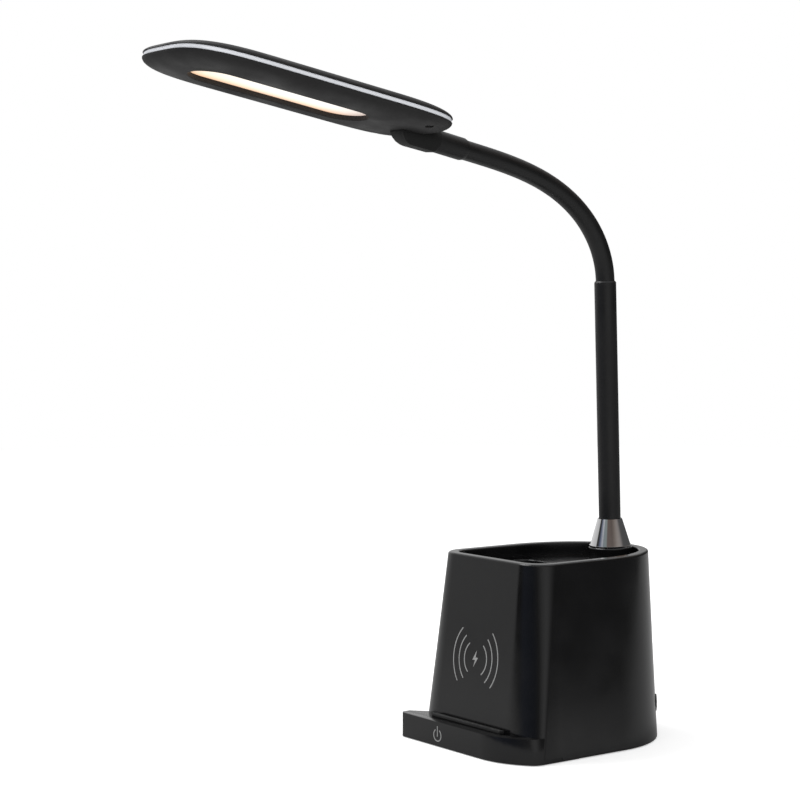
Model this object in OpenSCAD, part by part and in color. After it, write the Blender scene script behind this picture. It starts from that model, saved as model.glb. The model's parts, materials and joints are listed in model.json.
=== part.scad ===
// Desk lamp with a pen pot base, a sloping phone face and a gooseneck arm.
// Millimetres. Z is up, the front with the phone face looks along -Y, and the origin is the middle
// of the pot's flat underside. The rubber feet reach a little below it.

/* [Pot] */
// Width of the pot at its foot
base_w = 119; // [110:1:132]
// Width of the pot at its rim
rim_w = 91.2; // [84:0.2:100]
// Height of the rim above the underside
rim_z = 112; // [104:1:124]
// Where the phone face meets the underside, in front of the centre
face_foot_y = 60.8; // [56:0.2:64]
// Where the phone face meets the rim, in front of the centre
face_rim_y = 48.7; // [44:0.2:52]
// Front corner radius at the foot
corner_r_foot = 27; // [20:0.5:30]
// Front corner radius at the rim
corner_r_rim = 15.2; // [12:0.2:18]
// Depth of the right front corner along the side, at the foot
corner_side_foot = 8; // [6:0.5:20]
// Depth of the right front corner along the side, at the rim
corner_side_rim = 15.2; // [12:0.2:18]
// Middle of the round back, behind the centre
back_mid_y = 10; // [6:0.5:14]
// Depth of the round back from its middle
back_depth = 59.2; // [57:0.5:64]
// Thickness of the pot's wall
wall = 2.4; // [1.8:0.1:3]
// Width of the rolled rim, seen from above
rim_band = 6; // [5.2:0.1:7]
// Rounding of the rim's outer and inner edge
rim_round = 1.2; // [0.6:0.1:1.8]
// Thickness of the rim's top
rim_roof = 4; // [3:0.1:5]
// Thickness of the skirt that hangs inside the rim
skirt_t = 1.8; // [1.4:0.1:2.2]

/* [Phone ledge] */
// Height of the ledge above the underside
ledge_z = 14.6; // [12:0.2:18]
// Front of the ledge, in front of the centre
ledge_front_y = 72.9; // [70:0.1:76]
// Left end of the ledge, from the centre
ledge_left_x = 52.1; // [48:0.1:55]
// Radius of the ledge's left corner
ledge_left_r = 3.6; // [2:0.1:6]
// Radius of the ledge's large right corner
ledge_right_r = 46; // [40:0.5:48]
// Distance of the large corner's centre from the ledge's right side
ledge_corner_x = 33.8; // [30:0.2:37]
// Radius where the large corner runs into the right wall
ledge_side_r = 9; // [6:0.5:12]
// Width of the flat lip along the ledge's front
ledge_lip = 7.2; // [5:0.1:8]
// Fall of the ledge towards the phone face, in degrees
ledge_fall = 9; // [6:0.5:12]
// Distance of the soft strip behind the ledge's lip
strip_back = 1.4; // [1.2:0.1:1.8]
// Length of the soft strip at the foot of the phone face
strip_l = 64; // [50:1:66]
// Width of the soft strip
strip_w = 4; // [3:0.1:4.6]
// Height of the soft strip
strip_h = 2; // [1.4:0.1:2.6]

/* [Underside] */
// Height of the underside above the table
foot_gap = 0.5; // [0.4:0.1:1.5]
// Thickness of the bottom plate
plate_t = 2.4; // [2:0.1:3]
// Depth of the wall's rebate for the bottom plate
rebate = 1.2; // [0.9:0.1:1.5]
// Diameter of a rubber foot
foot_d = 12; // [9:0.5:14]
// Depth of a foot's recess in the bottom plate
foot_sink = 0.9; // [0.6:0.1:1.2]
// Distance of the front feet from the middle, sideways
foot_front_x = 38; // [30:0.5:40]
// Distance of the front feet behind the ledge's front
foot_front_in = 11.9; // [11:0.1:14]
// Distance of the back feet from the middle, sideways
foot_back_x = 40; // [30:0.5:41]
// Distance of the back feet in front of the pot's back
foot_back_in = 31.2; // [30:0.2:36]
// Length of the ballast weight from side to side
ballast_l = 70; // [56:1:74]
// Width of the ballast weight from front to back
ballast_w = 34; // [26:1:36]
// Thickness of the ballast weight
ballast_t = 12; // [8:0.5:16]
// Distance of the ballast weight in front of the pot's back
ballast_in = 18.2; // [16:0.2:19]

/* [Pen insert] */
// Depth of the insert's shelf below the rim
shelf_drop = 9.4; // [8:0.2:12]
// Thickness of the shelf
shelf_t = 1.8; // [1.4:0.1:2.4]
// Back edge of the deep pen pocket, behind the centre
pocket_back_y = 15.5; // [8:0.5:20]
// Step between the rim's inside and the pocket
pocket_step = 1.2; // [0.8:0.1:2]
// Corner radius of the pocket
pocket_r = 8; // [5:0.5:10]
// Thickness of the pocket's wall and floor
pocket_t = 1.8; // [1.4:0.1:2.4]
// Height of the pocket's floor above the underside
pocket_floor_z = 47; // [42:1:55]
// Diameter of the insert's screw legs
leg_d = 8; // [7:0.5:10]

/* [Post] */
// Distance of the post's middle from the pot's back
post_inset = 18; // [17.2:0.1:19]
// Forward lean of the post, in degrees
post_lean = 1.9; // [0:0.1:3]
// Outer diameter of the post
post_d = 13.5; // [12.5:0.1:14.5]
// Wall of the post tube
post_wall = 1.15; // [0.9:0.05:1.4]
// Length of the post above its boss
post_l = 164.5; // [120:0.5:200]
// Depth of the post's seat in the boss
post_seat = 4; // [2:0.5:6]
// Diameter of the boss that carries the post
boss_d = 27; // [26.5:0.1:28]
// Height of the boss
boss_h = 16; // [13:0.5:20]
// Foot diameter of the chrome cone
cone_d = 26; // [22:0.2:26]
// Top diameter of the chrome cone
cone_top_d = 15.2; // [14.9:0.1:18]
// Height of the chrome cone
cone_h = 17.4; // [14:0.2:22]
// Wall of the chrome cone at its foot
cone_wall = 1.6; // [1.2:0.1:2.2]
// Diameter of the hollow stud below the post
stud_d = 9.8; // [9:0.1:10.4]
// Bore of the hollow stud, for the lamp's leads
stud_bore = 6; // [5:0.1:6.4]
// Length of the stud below the boss
stud_tail = 10; // [9:0.5:14]

/* [Gooseneck] */
// Diameter of the gooseneck
neck_d = 11.6; // [10.6:0.1:12]
// Length of the gooseneck from the post to the end collar
neck_l = 145.4; // [130:1:170]
// Total bend of the gooseneck at rest, in degrees
neck_bend = 77.2; // [70:0.2:80]
// How early the bend comes along the gooseneck
neck_ease = 2.28; // [2:0.05:3]
// Number of links that stand for the gooseneck
link_n = 10; // [10:1:10]
// Half gap between two links
link_gap = 2.2; // [2:0.05:2.6]
// Diameter of a link's ball
ball_d = 10.4; // [10:0.1:10.6]
// Clearance round a link's ball
ball_play = 0.3; // [0.2:0.05:0.4]
// Bore through the links, for the lamp's leads
link_bore = 4.4; // [3.6:0.1:5]
// Diameter of the end collar
collar_d = 13.2; // [12.8:0.1:14.5]
// Length of the end collar
collar_l = 22; // [16:0.5:26]
// Depth that the last link reaches into the end collar
collar_seat = 12; // [8:0.5:14]

/* [Head] */
// Length of the head
head_l = 180.6; // [160:0.2:200]
// Width of the head
head_w = 74.8; // [68:0.2:80]
// Length of one of the head's rounded ends
head_end = 60.5; // [50:0.5:66]
// Squareness of the head's rounded ends
head_square = 3.7; // [2.4:0.1:4]
// Depth of the lower shell
lower_h = 6.1; // [5.6:0.1:8]
// Inset of the lower shell's flat underside from the head's outline
lower_in = 15.3; // [12:0.1:17]
// Height of the silver band
band_h = 2.4; // [1.8:0.1:3]
// Width of the silver band, seen from above
band_w = 3; // [2:0.1:4]
// Inset of the silver band from the head's outline
band_in = 0.5; // [0.2:0.1:0.9]
// Height of the top cover above the band
top_h = 4.6; // [3.4:0.1:8]
// Inset of the top cover's flat from the sides of the outline
top_in = 10; // [8:0.5:14]
// Inset of the top cover's flat from the ends of the outline
top_end_in = 22; // [16:0.5:26]
// Thickness of the head's shells
shell_t = 1.6; // [1.4:0.1:2]
// Length of the light window
window_l = 112.8; // [100:0.2:120]
// Width of the light window
window_w = 32; // [26:0.2:34]
// Distance of the window's middle from the head's middle, towards the tip
window_off = 13.2; // [8:0.2:16]
// Reach of the end collar's face behind the head's end
head_reach = 3.7; // [3.2:0.1:12]
// Distance of the gooseneck's axis below the band
head_rise = 6.1; // [5:0.1:9]
// Tip-up of the head against the end collar, in degrees
head_tilt = 1.2; // [0:0.1:4]
// Depth of the light window in the underside
window_depth = 2.9; // [2:0.1:3.2]
// Distance of the head's screws from its middle, sideways
head_screw_x = 26; // [20:0.5:26]
// Distance of the head's screws from its back end
head_screw_in = 20.3; // [20:0.1:26]
// Length of the shoe's flat underside
shoe_flat = 19; // [15:0.5:21]
// Length of the shoe's sloping front
shoe_slope = 8.4; // [7:0.2:10]
// Width of the shoe
shoe_w = 12; // [11:0.2:13]

/* [Electronics] */
// Outer diameter of the charging coil
coil_d = 44; // [36:1:48]
// Inner diameter of the charging coil
coil_hole = 20; // [16:1:24]
// Thickness of the charging coil
coil_t = 1.2; // [0.8:0.1:1.6]
// Height of the coil's middle above the underside
coil_z = 58; // [54:1:62]
// Side of the square ferrite sheet
ferrite_s = 48; // [40:1:50]
// Thickness of the ferrite sheet
ferrite_t = 0.8; // [0.5:0.1:1.2]
// Width of the coil carrier
carrier_w = 58; // [54:1:60]
// Thickness of the coil carrier
carrier_t = 1.4; // [1:0.1:1.8]
// Length of the control board
board_l = 46; // [40:1:50]
// Width of the control board
board_w = 26; // [20:1:28]
// Thickness of the circuit boards
board_t = 1.6; // [1.2:0.1:2]
// Height of the control board's standoffs
board_lift = 4; // [3:0.5:6]
// Diameter of the power inlet's bezel
inlet_d = 10.4; // [9:0.1:12]
// Height of the power inlet above the underside
inlet_z = 19.2; // [16:0.2:24]
// Direction of the power inlet, in degrees from the right towards the back
inlet_turn = 50; // [40:1:60]
// How far the inlet's bezel stands proud
inlet_proud = 0.6; // [0.3:0.1:1]

/* [Hidden] */
// Fineness of round faces
fine = 96;
// Fineness of hulled outlines
arc_n = 12;
// Overlap that makes cuts clean
eps = 0.02;
// Clearance between pieces that slip together
slip = 0.2;
// Step between the ledge's right end and the pot's side
side_step = 0.06;
// Clearance between the bottom plate and its rebate
plate_play = 0.2;
// Clearance between the insert's shelf and the skirt
shelf_play = 0.3;
// Difference between a screw's shank and the hole that it cuts its thread in
thread_play = 0.1;
// Floor that stays below a screw hole in the bottom plate's posts
hole_floor = 0.5;

black = "#1b1b1d";
dark = "#2a2a2c";
steel = "#9a9ca0";
chrome = "#d8dadd";
board_green = "#2f6b45";
copper = "#b8733a";
warm = "#ffe6c4";

// Sections of the pot: [half width, front, corner radius]
function mix(a, b, t) = a + (b - a) * t;
function up_share(z) = z / rim_z;
function half_w(z) = mix(base_w, rim_w, up_share(z)) / 2;
function front_y(z) = mix(face_foot_y, face_rim_y, up_share(z));
function corner_r(z) = mix(corner_r_foot, corner_r_rim, up_share(z));
function corner_side(z) = mix(corner_side_foot, corner_side_rim, up_share(z));
face_tilt = atan((face_foot_y - face_rim_y) / rim_z);

// Back of the pot, and where the post stands
back_y = back_mid_y + back_depth;
post_y = back_y - post_inset;

// Heights inside the pot
plate_top = plate_t;
cavity_top = rim_z - rim_roof;
shelf_z = rim_z - shelf_drop;

// Points of an arc from start over turn degrees
function arc(middle, rx, ry, start, turn, n) =
    [for (i = [0:n]) let (t = start + turn * i / n) middle + [rx * cos(t), ry * sin(t)]];

// Share of an inset that a corner's radius loses
corner_keep = 0.6;

// Outline of the pot at height z, drawn in by inset. The right front corner is flatter at its foot.
function pot_outline(z, inset) =
    let (w = half_w(z) - inset, f = front_y(z) - inset, r = corner_r(z) - inset * corner_keep,
         rs = corner_side(z) - inset * corner_keep, b = back_depth - inset)
    concat(
        arc([-w + r, -f + r], r, r, 180, 90, arc_n),
        arc([w - r, -f + rs], r, rs, 270, 90, arc_n),
        arc([0, back_mid_y], w, b, 0, 180, 3 * arc_n)
    );

module pot_slab(z, inset, h) {
    translate([0, 0, z]) linear_extrude(height = h) polygon(pot_outline(z, inset));
}

// Outline of the ledge at height z, drawn in by inset
function ledge_outline(z, inset) =
    let (w = half_w(z) - side_step - inset, l = ledge_left_x - inset, f = ledge_front_y - inset,
         rl = max(ledge_left_r - inset * corner_keep, eps), rr = ledge_right_r - inset,
         rs = ledge_side_r - inset * corner_keep, x1 = w + inset - ledge_corner_x, y1 = -f + rr,
         dx = w - rs - x1, dy = sqrt(pow(rr - rs, 2) - dx * dx), turn = atan2(-dy, dx))
    concat(
        arc([-l + rl, -f + rl], rl, rl, 180, 90, arc_n / 2),
        arc([x1, y1], rr, rr, -90, turn + 90, arc_n),
        arc([w - rs, y1 - dy], rs, rs, turn * (1 - 2 / arc_n), -turn * (1 - 2 / arc_n), arc_n / 2 - 1),
        [[w, -corner_r_foot], [-l, -corner_r_foot]]
    );

module ledge_slab(z, inset, h) {
    translate([0, 0, z]) linear_extrude(height = h) polygon(ledge_outline(z, inset));
}

// The fall of the ledge's top behind its lip
module ledge_fall_frame() {
    translate([0, -ledge_front_y + ledge_lip, ledge_z]) rotate([-ledge_fall, 0, 0]) children();
}

module ledge_block() {
    difference() {
        hull() {
            ledge_slab(0, 0, eps);
            ledge_slab(ledge_z, 0, eps);
        }
        intersection() {
            ledge_fall_frame() translate([-base_w, 0, 0]) cube([2 * base_w, base_w, ledge_z]);
            ledge_channel();
        }
    }
}

// The lip keeps its full height round the right corner, and the fall lies behind it
module ledge_channel() {
    linear_extrude(height = 2 * ledge_z) {
        polygon(ledge_outline(ledge_z, ledge_lip));
        translate([-base_w, -ledge_front_y + ledge_lip]) square([base_w, ledge_front_y - ledge_lip]);
    }
}

// Frames of the phone face and of the leaning post
module face_frame() {
    translate([0, -face_foot_y, 0]) rotate([-face_tilt, 0, 0]) children();
}

module post_frame() {
    translate([0, post_y, rim_z]) rotate([post_lean, 0, 0]) children();
}

// Half width and front of the pen pocket
pocket_x = rim_w / 2 - rim_band - pocket_step;
pocket_front_y = -face_rim_y + rim_band + pocket_step;

// Four screw legs of the pen insert
leg_side_in = 4;
leg_front_in = 7;
leg_back_in = 3;
leg_x = pocket_x - pocket_t - leg_d / 2 - leg_side_in;
leg_front_y = pocket_front_y + leg_d / 2 + leg_front_in;
leg_back_y = pocket_back_y - leg_d / 2 - leg_back_in;
legs = [[-leg_x, leg_front_y], [leg_x, leg_front_y], [-leg_x, leg_back_y], [leg_x, leg_back_y]];
leg_screw_d = 3;
leg_screw_l = 12;

// Feet
foot_front_y = -ledge_front_y + foot_front_in;
foot_back_y = back_y - foot_back_in;
feet = [
    [-foot_front_x, foot_front_y], [foot_front_x, foot_front_y],
    [-foot_back_x, foot_back_y], [foot_back_x, foot_back_y]
];
foot_t = foot_gap + foot_sink;

// Ballast
ballast_y = back_y - ballast_in - ballast_w / 2;
ballast_r = 5;
ballast_screw_x = ballast_l / 2 - 8;
ballast_screw_d = 3;
ballast_screw_l = 9;
ballast_head_d = 6;
ballast_head_t = 2;
ballast_post_d = 7;
ballast_post_h = 7;

module boss() {
    post_frame() translate([0, 0, -boss_h]) cylinder(d = boss_d, h = boss_h, $fn = fine);
}

module pot_shell() {
    color(black) difference() {
        union() {
            hull() {
                pot_slab(0, 0, eps);
                pot_slab(rim_z - rim_round, 0, eps);
                pot_slab(rim_z - eps, rim_round, eps);
            }
            ledge_block();
        }
        difference() {
            hull() {
                pot_slab(-1, wall, eps);
                pot_slab(cavity_top, wall, eps);
            }
            translate([0, 0, shelf_z]) rim_opening(rim_band - skirt_t, rim_z);
            boss();
        }
        difference() {
            translate([0, 0, shelf_z - 1]) rim_opening(rim_band, rim_z);
            boss();
        }
        ledge_hollow();
        translate([0, 0, -1]) plate_seat(rebate, plate_t + 1);
        post_frame() {
            translate([0, 0, -boss_h - 1]) cylinder(d = stud_d + 2 * slip, h = boss_h + 2, $fn = fine);
            translate([0, 0, -post_seat]) cylinder(d = post_d + 2 * slip, h = post_seat + 1, $fn = fine);
        }
        inlet_frame() {
            translate([0, 0, -inlet_body_l])
                cylinder(d = inlet_body_d + 2 * slip, h = 2 * inlet_body_l, $fn = fine);
            translate([0, 0, -inlet_seat]) cylinder(d = inlet_d + 2 * slip, h = inlet_body_l, $fn = fine);
        }
    }
}

// The hollow of the ledge, open below
module ledge_hollow() {
    difference() {
        hull() {
            ledge_slab(-1, wall, eps);
            ledge_slab(ledge_z - wall, wall, eps);
        }
        ledge_fall_frame() translate([-base_w, 0, -wall]) cube([2 * base_w, base_w, ledge_z]);
    }
}

module rim_opening(inset, h) {
    linear_extrude(height = h) polygon(pot_outline(rim_z, inset));
}

// The recess in the underside that takes the bottom plate
module plate_seat(inset, h) {
    linear_extrude(height = h) {
        polygon(pot_outline(0, inset));
        polygon(ledge_outline(0, inset));
    }
}

module phone_rest_strip() {
    color(dark) ledge_fall_frame() translate([-strip_l / 2, strip_back, 0]) cube([strip_l, strip_w, strip_h]);
}

module rounded_box(x0, x1, y0, y1, r, h) {
    linear_extrude(height = h) {
        translate([x0 + r, y0]) square([x1 - x0 - 2 * r, y1 - y0]);
        translate([x0, y0 + r]) square([x1 - x0, y1 - y0 - 2 * r]);
        for (x = [x0 + r, x1 - r], y = [y0 + r, y1 - r]) translate([x, y]) circle(r = r, $fn = fine);
    }
}

module pen_insert() {
    color(black) {
        difference() {
            union() {
                translate([0, 0, shelf_z - shelf_t]) rim_opening(rim_band - skirt_t + shelf_play, shelf_t);
                translate([0, 0, pocket_floor_z - pocket_t]) rounded_box(
                    -pocket_x - pocket_t, pocket_x + pocket_t, pocket_front_y - pocket_t,
                    pocket_back_y + pocket_t, pocket_r + pocket_t,
                    shelf_z - pocket_floor_z + pocket_t - shelf_t + eps);
                for (p = legs) translate([p[0], p[1], plate_top])
                    cylinder(d = leg_d, h = pocket_floor_z - plate_top - eps, $fn = fine);
            }
            translate([0, 0, pocket_floor_z]) rounded_box(
                -pocket_x, pocket_x, pocket_front_y, pocket_back_y, pocket_r, rim_z);
            post_frame() translate([0, 0, -2 * boss_h])
                cylinder(d = boss_d + 3 * slip, h = 2 * boss_h, $fn = fine);
            for (p = legs) translate([p[0], p[1], plate_top - 1])
                cylinder(d = leg_screw_d, h = leg_screw_l + 2, $fn = fine);
        }
    }
}

screw_head_d = 5.6;
screw_head_t = 1.4;

module bottom_plate() {
    color(black) {
        difference() {
            union() {
                plate_seat(rebate + plate_play, plate_t);
                for (p = board_posts) translate([p[0], p[1], plate_top - eps])
                    cylinder(d = board_post_d, h = board_lift + eps, $fn = fine);
                for (s = [-1, 1]) translate([s * ballast_screw_x, ballast_y, plate_top - eps])
                    cylinder(d = ballast_post_d, h = ballast_post_h + eps, $fn = fine);
            }
            for (p = legs) translate([p[0], p[1], -1]) {
                cylinder(d = leg_screw_d + 2 * slip, h = plate_t + 2, $fn = fine);
                cylinder(d = screw_head_d + 2 * slip, h = screw_head_t + 1, $fn = fine);
            }
            for (p = feet) translate([p[0], p[1], -1])
                cylinder(d = foot_d + 2 * slip, h = foot_sink + 1, $fn = fine);
            for (p = board_posts) translate([p[0], p[1], plate_top + hole_floor])
                cylinder(d = board_screw_d, h = board_lift + 1, $fn = fine);
            for (s = [-1, 1]) translate([s * ballast_screw_x, ballast_y, plate_top + hole_floor])
                cylinder(d = ballast_screw_d, h = ballast_post_h + 1, $fn = fine);
        }
    }
}

module rubber_feet() {
    color(dark) for (p = feet) translate([p[0], p[1], -foot_gap])
        cylinder(d = foot_d, h = foot_t, $fn = fine);
}

module bottom_screws() {
    color(steel) for (p = legs) translate([p[0], p[1], screw_head_t]) {
        translate([0, 0, -screw_head_t]) cylinder(d = screw_head_d, h = screw_head_t, $fn = fine);
        translate([0, 0, -eps]) cylinder(d = leg_screw_d - thread_play, h = leg_screw_l, $fn = fine);
    }
}

module ballast_weight() {
    color(steel) translate([0, ballast_y, plate_top]) difference() {
        rounded_box(-ballast_l / 2, ballast_l / 2, -ballast_w / 2, ballast_w / 2, ballast_r, ballast_t);
        for (s = [-1, 1]) translate([s * ballast_screw_x, 0, 0]) {
            translate([0, 0, -1]) cylinder(d = ballast_post_d + 2 * slip, h = ballast_post_h + 1, $fn = fine);
            translate([0, 0, -1]) cylinder(d = ballast_screw_d + 2 * slip, h = ballast_t + 2, $fn = fine);
        }
    }
}

module ballast_screws() {
    color(steel) for (s = [-1, 1]) translate([s * ballast_screw_x, ballast_y, plate_top + ballast_t]) {
        cylinder(d = ballast_head_d, h = ballast_head_t, $fn = fine);
        translate([0, 0, -ballast_screw_l])
            cylinder(d = ballast_screw_d - thread_play, h = ballast_screw_l + eps, $fn = fine);
    }
}

// Control board on its standoffs, between the legs
board_gap = 1;
board_y = leg_front_y + leg_d / 2 + board_gap + board_w / 2;
board_z = plate_top + board_lift;
board_screw_d = 2.2;
board_screw_in = 3;
board_head_d = 4;
board_head_t = 1.4;
board_post_d = 5;
board_corner = [board_l / 2 - board_screw_in, board_w / 2 - board_screw_in];
board_posts = [for (x = [-1, 1], y = [-1, 1]) [x * board_corner[0], board_y + y * board_corner[1]]];

// Parts on the board: [x, y, width, depth, height], and for round ones [x, y, diameter, height]
board_blocks = [[-12, -6, 9, 9, 1.6], [4, -9, 7, 5, 1.2], [13, -5, 6, 7.5, 5]];
board_cans = [[6, 4, 6.3, 8], [-4, 6, 5, 6]];

module control_board() {
    color(board_green) translate([0, board_y, board_z]) {
        difference() {
            translate([-board_l / 2, -board_w / 2, 0]) cube([board_l, board_w, board_t]);
            for (x = [-1, 1], y = [-1, 1]) translate([x * board_corner[0], y * board_corner[1], -1])
                cylinder(d = board_screw_d + 2 * slip, h = board_t + 2, $fn = fine);
        }
        for (b = board_blocks) translate([b[0], b[1], board_t - eps]) cube([b[2], b[3], b[4]]);
        for (c = board_cans) translate([c[0], c[1], board_t - eps]) cylinder(d = c[2], h = c[3], $fn = fine);
    }
}

module board_screws() {
    color(steel) for (p = board_posts) translate([p[0], p[1], board_z + board_t]) {
        cylinder(d = board_head_d, h = board_head_t, $fn = fine);
        translate([0, 0, -board_t - board_lift + 1])
            cylinder(d = board_screw_d - thread_play, h = board_t + board_lift - 1 + eps, $fn = fine);
    }
}

// Coil, ferrite sheet and carrier lie on the inside of the phone face
face_in = wall / cos(face_tilt);
coil_up = coil_z / cos(face_tilt);

module coil_frame() {
    face_frame() translate([0, face_in, coil_up]) rotate([-90, 0, 0]) children();
}

module charging_coil() {
    color(copper) coil_frame() difference() {
        cylinder(d = coil_d, h = coil_t, $fn = fine);
        translate([0, 0, -1]) cylinder(d = coil_hole, h = coil_t + 2, $fn = fine);
    }
}

module ferrite_sheet() {
    color(dark) coil_frame() translate([-ferrite_s / 2, -ferrite_s / 2, coil_t])
        cube([ferrite_s, ferrite_s, ferrite_t]);
}

module coil_carrier() {
    color(dark) coil_frame() difference() {
        translate([-carrier_w / 2, -carrier_w / 2, 0])
            cube([carrier_w, carrier_w, coil_t + ferrite_t + carrier_t]);
        translate([-ferrite_s / 2 - slip, -ferrite_s / 2 - slip, -1])
            cube([ferrite_s + 2 * slip, ferrite_s + 2 * slip, 1 + coil_t + ferrite_t]);
    }
}

touch_x = -15;
touch_low_z = 4.2;
touch_size = [14, 1.2, 6];

module touch_pad() {
    color(copper) translate([touch_x - touch_size[0] / 2, -ledge_front_y + wall, touch_low_z])
        cube(touch_size);
}

// Power inlet through the wall, square to it
inlet_body_d = 8;
inlet_body_l = 13;
inlet_bore_d = 5.5;
inlet_seat = 0.6;
inlet_pin_d = 2;

module inlet_frame() {
    a = half_w(inlet_z);
    t = atan(back_depth / a * tan(inlet_turn));
    translate([a * cos(t), back_mid_y + back_depth * sin(t), inlet_z])
        rotate([0, 0, inlet_turn]) rotate([0, 90, 0]) children();
}

module power_inlet() {
    color(dark) inlet_frame() {
        difference() {
            union() {
                translate([0, 0, -inlet_body_l])
                    cylinder(d = inlet_body_d, h = inlet_body_l + inlet_proud, $fn = fine);
                translate([0, 0, -inlet_seat])
                    cylinder(d = inlet_d, h = inlet_seat + inlet_proud, $fn = fine);
            }
            translate([0, 0, -inlet_body_l + 2]) cylinder(d = inlet_bore_d, h = inlet_body_l, $fn = fine);
        }
        translate([0, 0, -inlet_body_l + 1]) cylinder(d = inlet_pin_d, h = inlet_body_l - 2, $fn = fine);
    }
}

cone_bore = post_d + 2 * slip;
cone_lip = [0.5, 1];
cone_grip = 3;

module cone_collar() {
    color(chrome) post_frame() rotate_extrude($fn = fine) polygon([
        [cone_bore / 2, cone_h], [cone_top_d / 2, cone_h], [cone_d / 2 - cone_lip[0], cone_lip[1]],
        [cone_d / 2, cone_lip[1]], [cone_d / 2, 0], [cone_d / 2 - cone_wall, 0],
        [cone_bore / 2, cone_h - cone_grip]
    ]);
}

post_bore = post_d - 2 * post_wall;
post_edge = [0.6, 1];

module post_tube() {
    color(black) post_frame() rotate_extrude($fn = fine) polygon([
        [post_bore / 2, -post_seat], [post_d / 2, -post_seat], [post_d / 2, post_l - post_edge[1]],
        [post_d / 2 - post_edge[0], post_l], [post_bore / 2, post_l]
    ]);
}

stud_plug_l = 18;
plug_fit = 0.01;

module post_stud() {
    color(steel) post_frame() difference() {
        union() {
            translate([0, 0, -boss_h - stud_tail]) cylinder(d = stud_d, h = boss_h + stud_tail, $fn = fine);
            translate([0, 0, -post_seat]) cylinder(d = post_bore - 2 * plug_fit, h = stud_plug_l, $fn = fine);
        }
        translate([0, 0, -boss_h - stud_tail - 1])
            cylinder(d = stud_bore, h = boss_h + stud_tail + stud_plug_l + 2, $fn = fine);
    }
}

washer_d = 20;
washer_t = 1.5;
// Width over the nut's flats
nut_af = 17;
nut_t = 6;

module column_washer() {
    color(steel) post_frame() translate([0, 0, -boss_h - washer_t]) difference() {
        cylinder(d = washer_d, h = washer_t, $fn = fine);
        translate([0, 0, -1]) cylinder(d = stud_d + 2 * slip, h = washer_t + 2, $fn = fine);
    }
}

module column_nut() {
    color(steel) post_frame() translate([0, 0, -boss_h - washer_t - nut_t]) difference() {
        cylinder(d = nut_af / cos(30), h = nut_t, $fn = 6);
        translate([0, 0, -1]) cylinder(d = stud_d + thread_play, h = nut_t + 2, $fn = fine);
    }
}

// Gooseneck: a chain of arcs in the plane of the post. The heading is counted from straight up.
link_l = neck_l / link_n;
function heading(k) = post_lean + neck_bend * (1 - pow(1 - k / link_n, neck_ease));
function link_turn(k) = heading(k + 1) - heading(k);
neck_start = [post_y - post_l * sin(post_lean), rim_z + post_l * cos(post_lean)];
function joint_at(k) = k == 0 ? neck_start
    : joint_at(k - 1) + link_chord(k - 1) * [-sin(link_mid(k - 1)), cos(link_mid(k - 1))];

// Straight length and heading of the link between joints k and k + 1
function link_chord(k) = link_l * sin(link_turn(k) / 2) / (link_turn(k) / 2 * PI / 180);
function link_mid(k) = (heading(k) + heading(k + 1)) / 2;
end_heading = link_mid(link_n - 1);
root_plug_l = 14;

// Z runs up the post at the gooseneck's start, and X stays sideways
module root_frame() {
    translate([0, neck_start[0], neck_start[1]]) rotate([post_lean, 0, 0]) children();
}

// Z runs along link k from its lower joint
module link_frame(k) {
    p = joint_at(k);
    translate([0, p[0], p[1]]) rotate([link_mid(k), 0, 0]) children();
}

// Z runs along the end collar from the gooseneck's upper end
module end_frame() {
    p = joint_at(link_n);
    translate([0, p[0], p[1]]) rotate([end_heading, 0, 0]) children();
}

// Half section of a ball at height z, with the bore left open
module ball_section(z) {
    intersection() {
        translate([0, z]) circle(d = ball_d, $fn = fine);
        translate([link_bore / 2, z - ball_d]) square([ball_d, 2 * ball_d]);
    }
}

module neck_root() {
    color(black) root_frame() rotate_extrude($fn = fine) union() {
        translate([link_bore / 2, -root_plug_l])
            square([post_bore / 2 - plug_fit - link_bore / 2, root_plug_l - link_gap]);
        ball_section(0);
    }
}

// Half section of a link: a cup round the ball below, and a wall up to height top
module link_section(top) {
    difference() {
        translate([link_bore / 2, link_gap]) square([(neck_d - link_bore) / 2, top - link_gap]);
        circle(d = ball_d + 2 * ball_play, $fn = fine);
    }
}

module neck_link(k) {
    color(black) link_frame(k) rotate_extrude($fn = fine) union() {
        link_section(link_chord(k) - link_gap);
        ball_section(link_chord(k));
    }
}

// The last link runs into the end collar
module neck_last_link() {
    color(black) link_frame(link_n - 1) rotate_extrude($fn = fine)
        link_section(link_chord(link_n - 1) + collar_seat);
}

collar_edge = [0.6, 2.2];

module end_collar() {
    color(black) end_frame() rotate_extrude($fn = fine) polygon([
        [neck_d / 2 + plug_fit, 0], [collar_d / 2 - collar_edge[0], 0],
        [collar_d / 2, collar_edge[1]], [collar_d / 2, collar_l],
        [link_bore / 2, collar_l], [link_bore / 2, collar_seat], [neck_d / 2 + plug_fit, collar_seat]
    ]);
}

// The end collar's face, from the head's middle
collar_y = head_l / 2 + head_reach;

// Head frame: origin at the head's middle in the plane of the band's lower edge, tip along -Y
module head_frame() {
    end_frame() translate([0, 0, collar_l]) rotate([head_tilt - 90, 0, 0])
        translate([0, -collar_y, head_rise]) children();
}

// Outline of the head with its sides drawn in by side and its ends by tip
head_n = 48;
function squarish(v) = sign(v) * pow(abs(v), 2 / head_square);
function head_outline(side, tip) =
    let (a = head_end - tip, b = head_w / 2 - side, s = head_l / 2 - head_end)
    [for (i = [0:head_n - 1]) let (t = 360 * (i + 0.5) / head_n)
        [b * squarish(cos(t)), sign(sin(t)) * s + a * squarish(sin(t))]];

module head_slab(z, side, tip) {
    translate([0, 0, z]) linear_extrude(height = eps) polygon(head_outline(side, tip));
}

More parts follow.
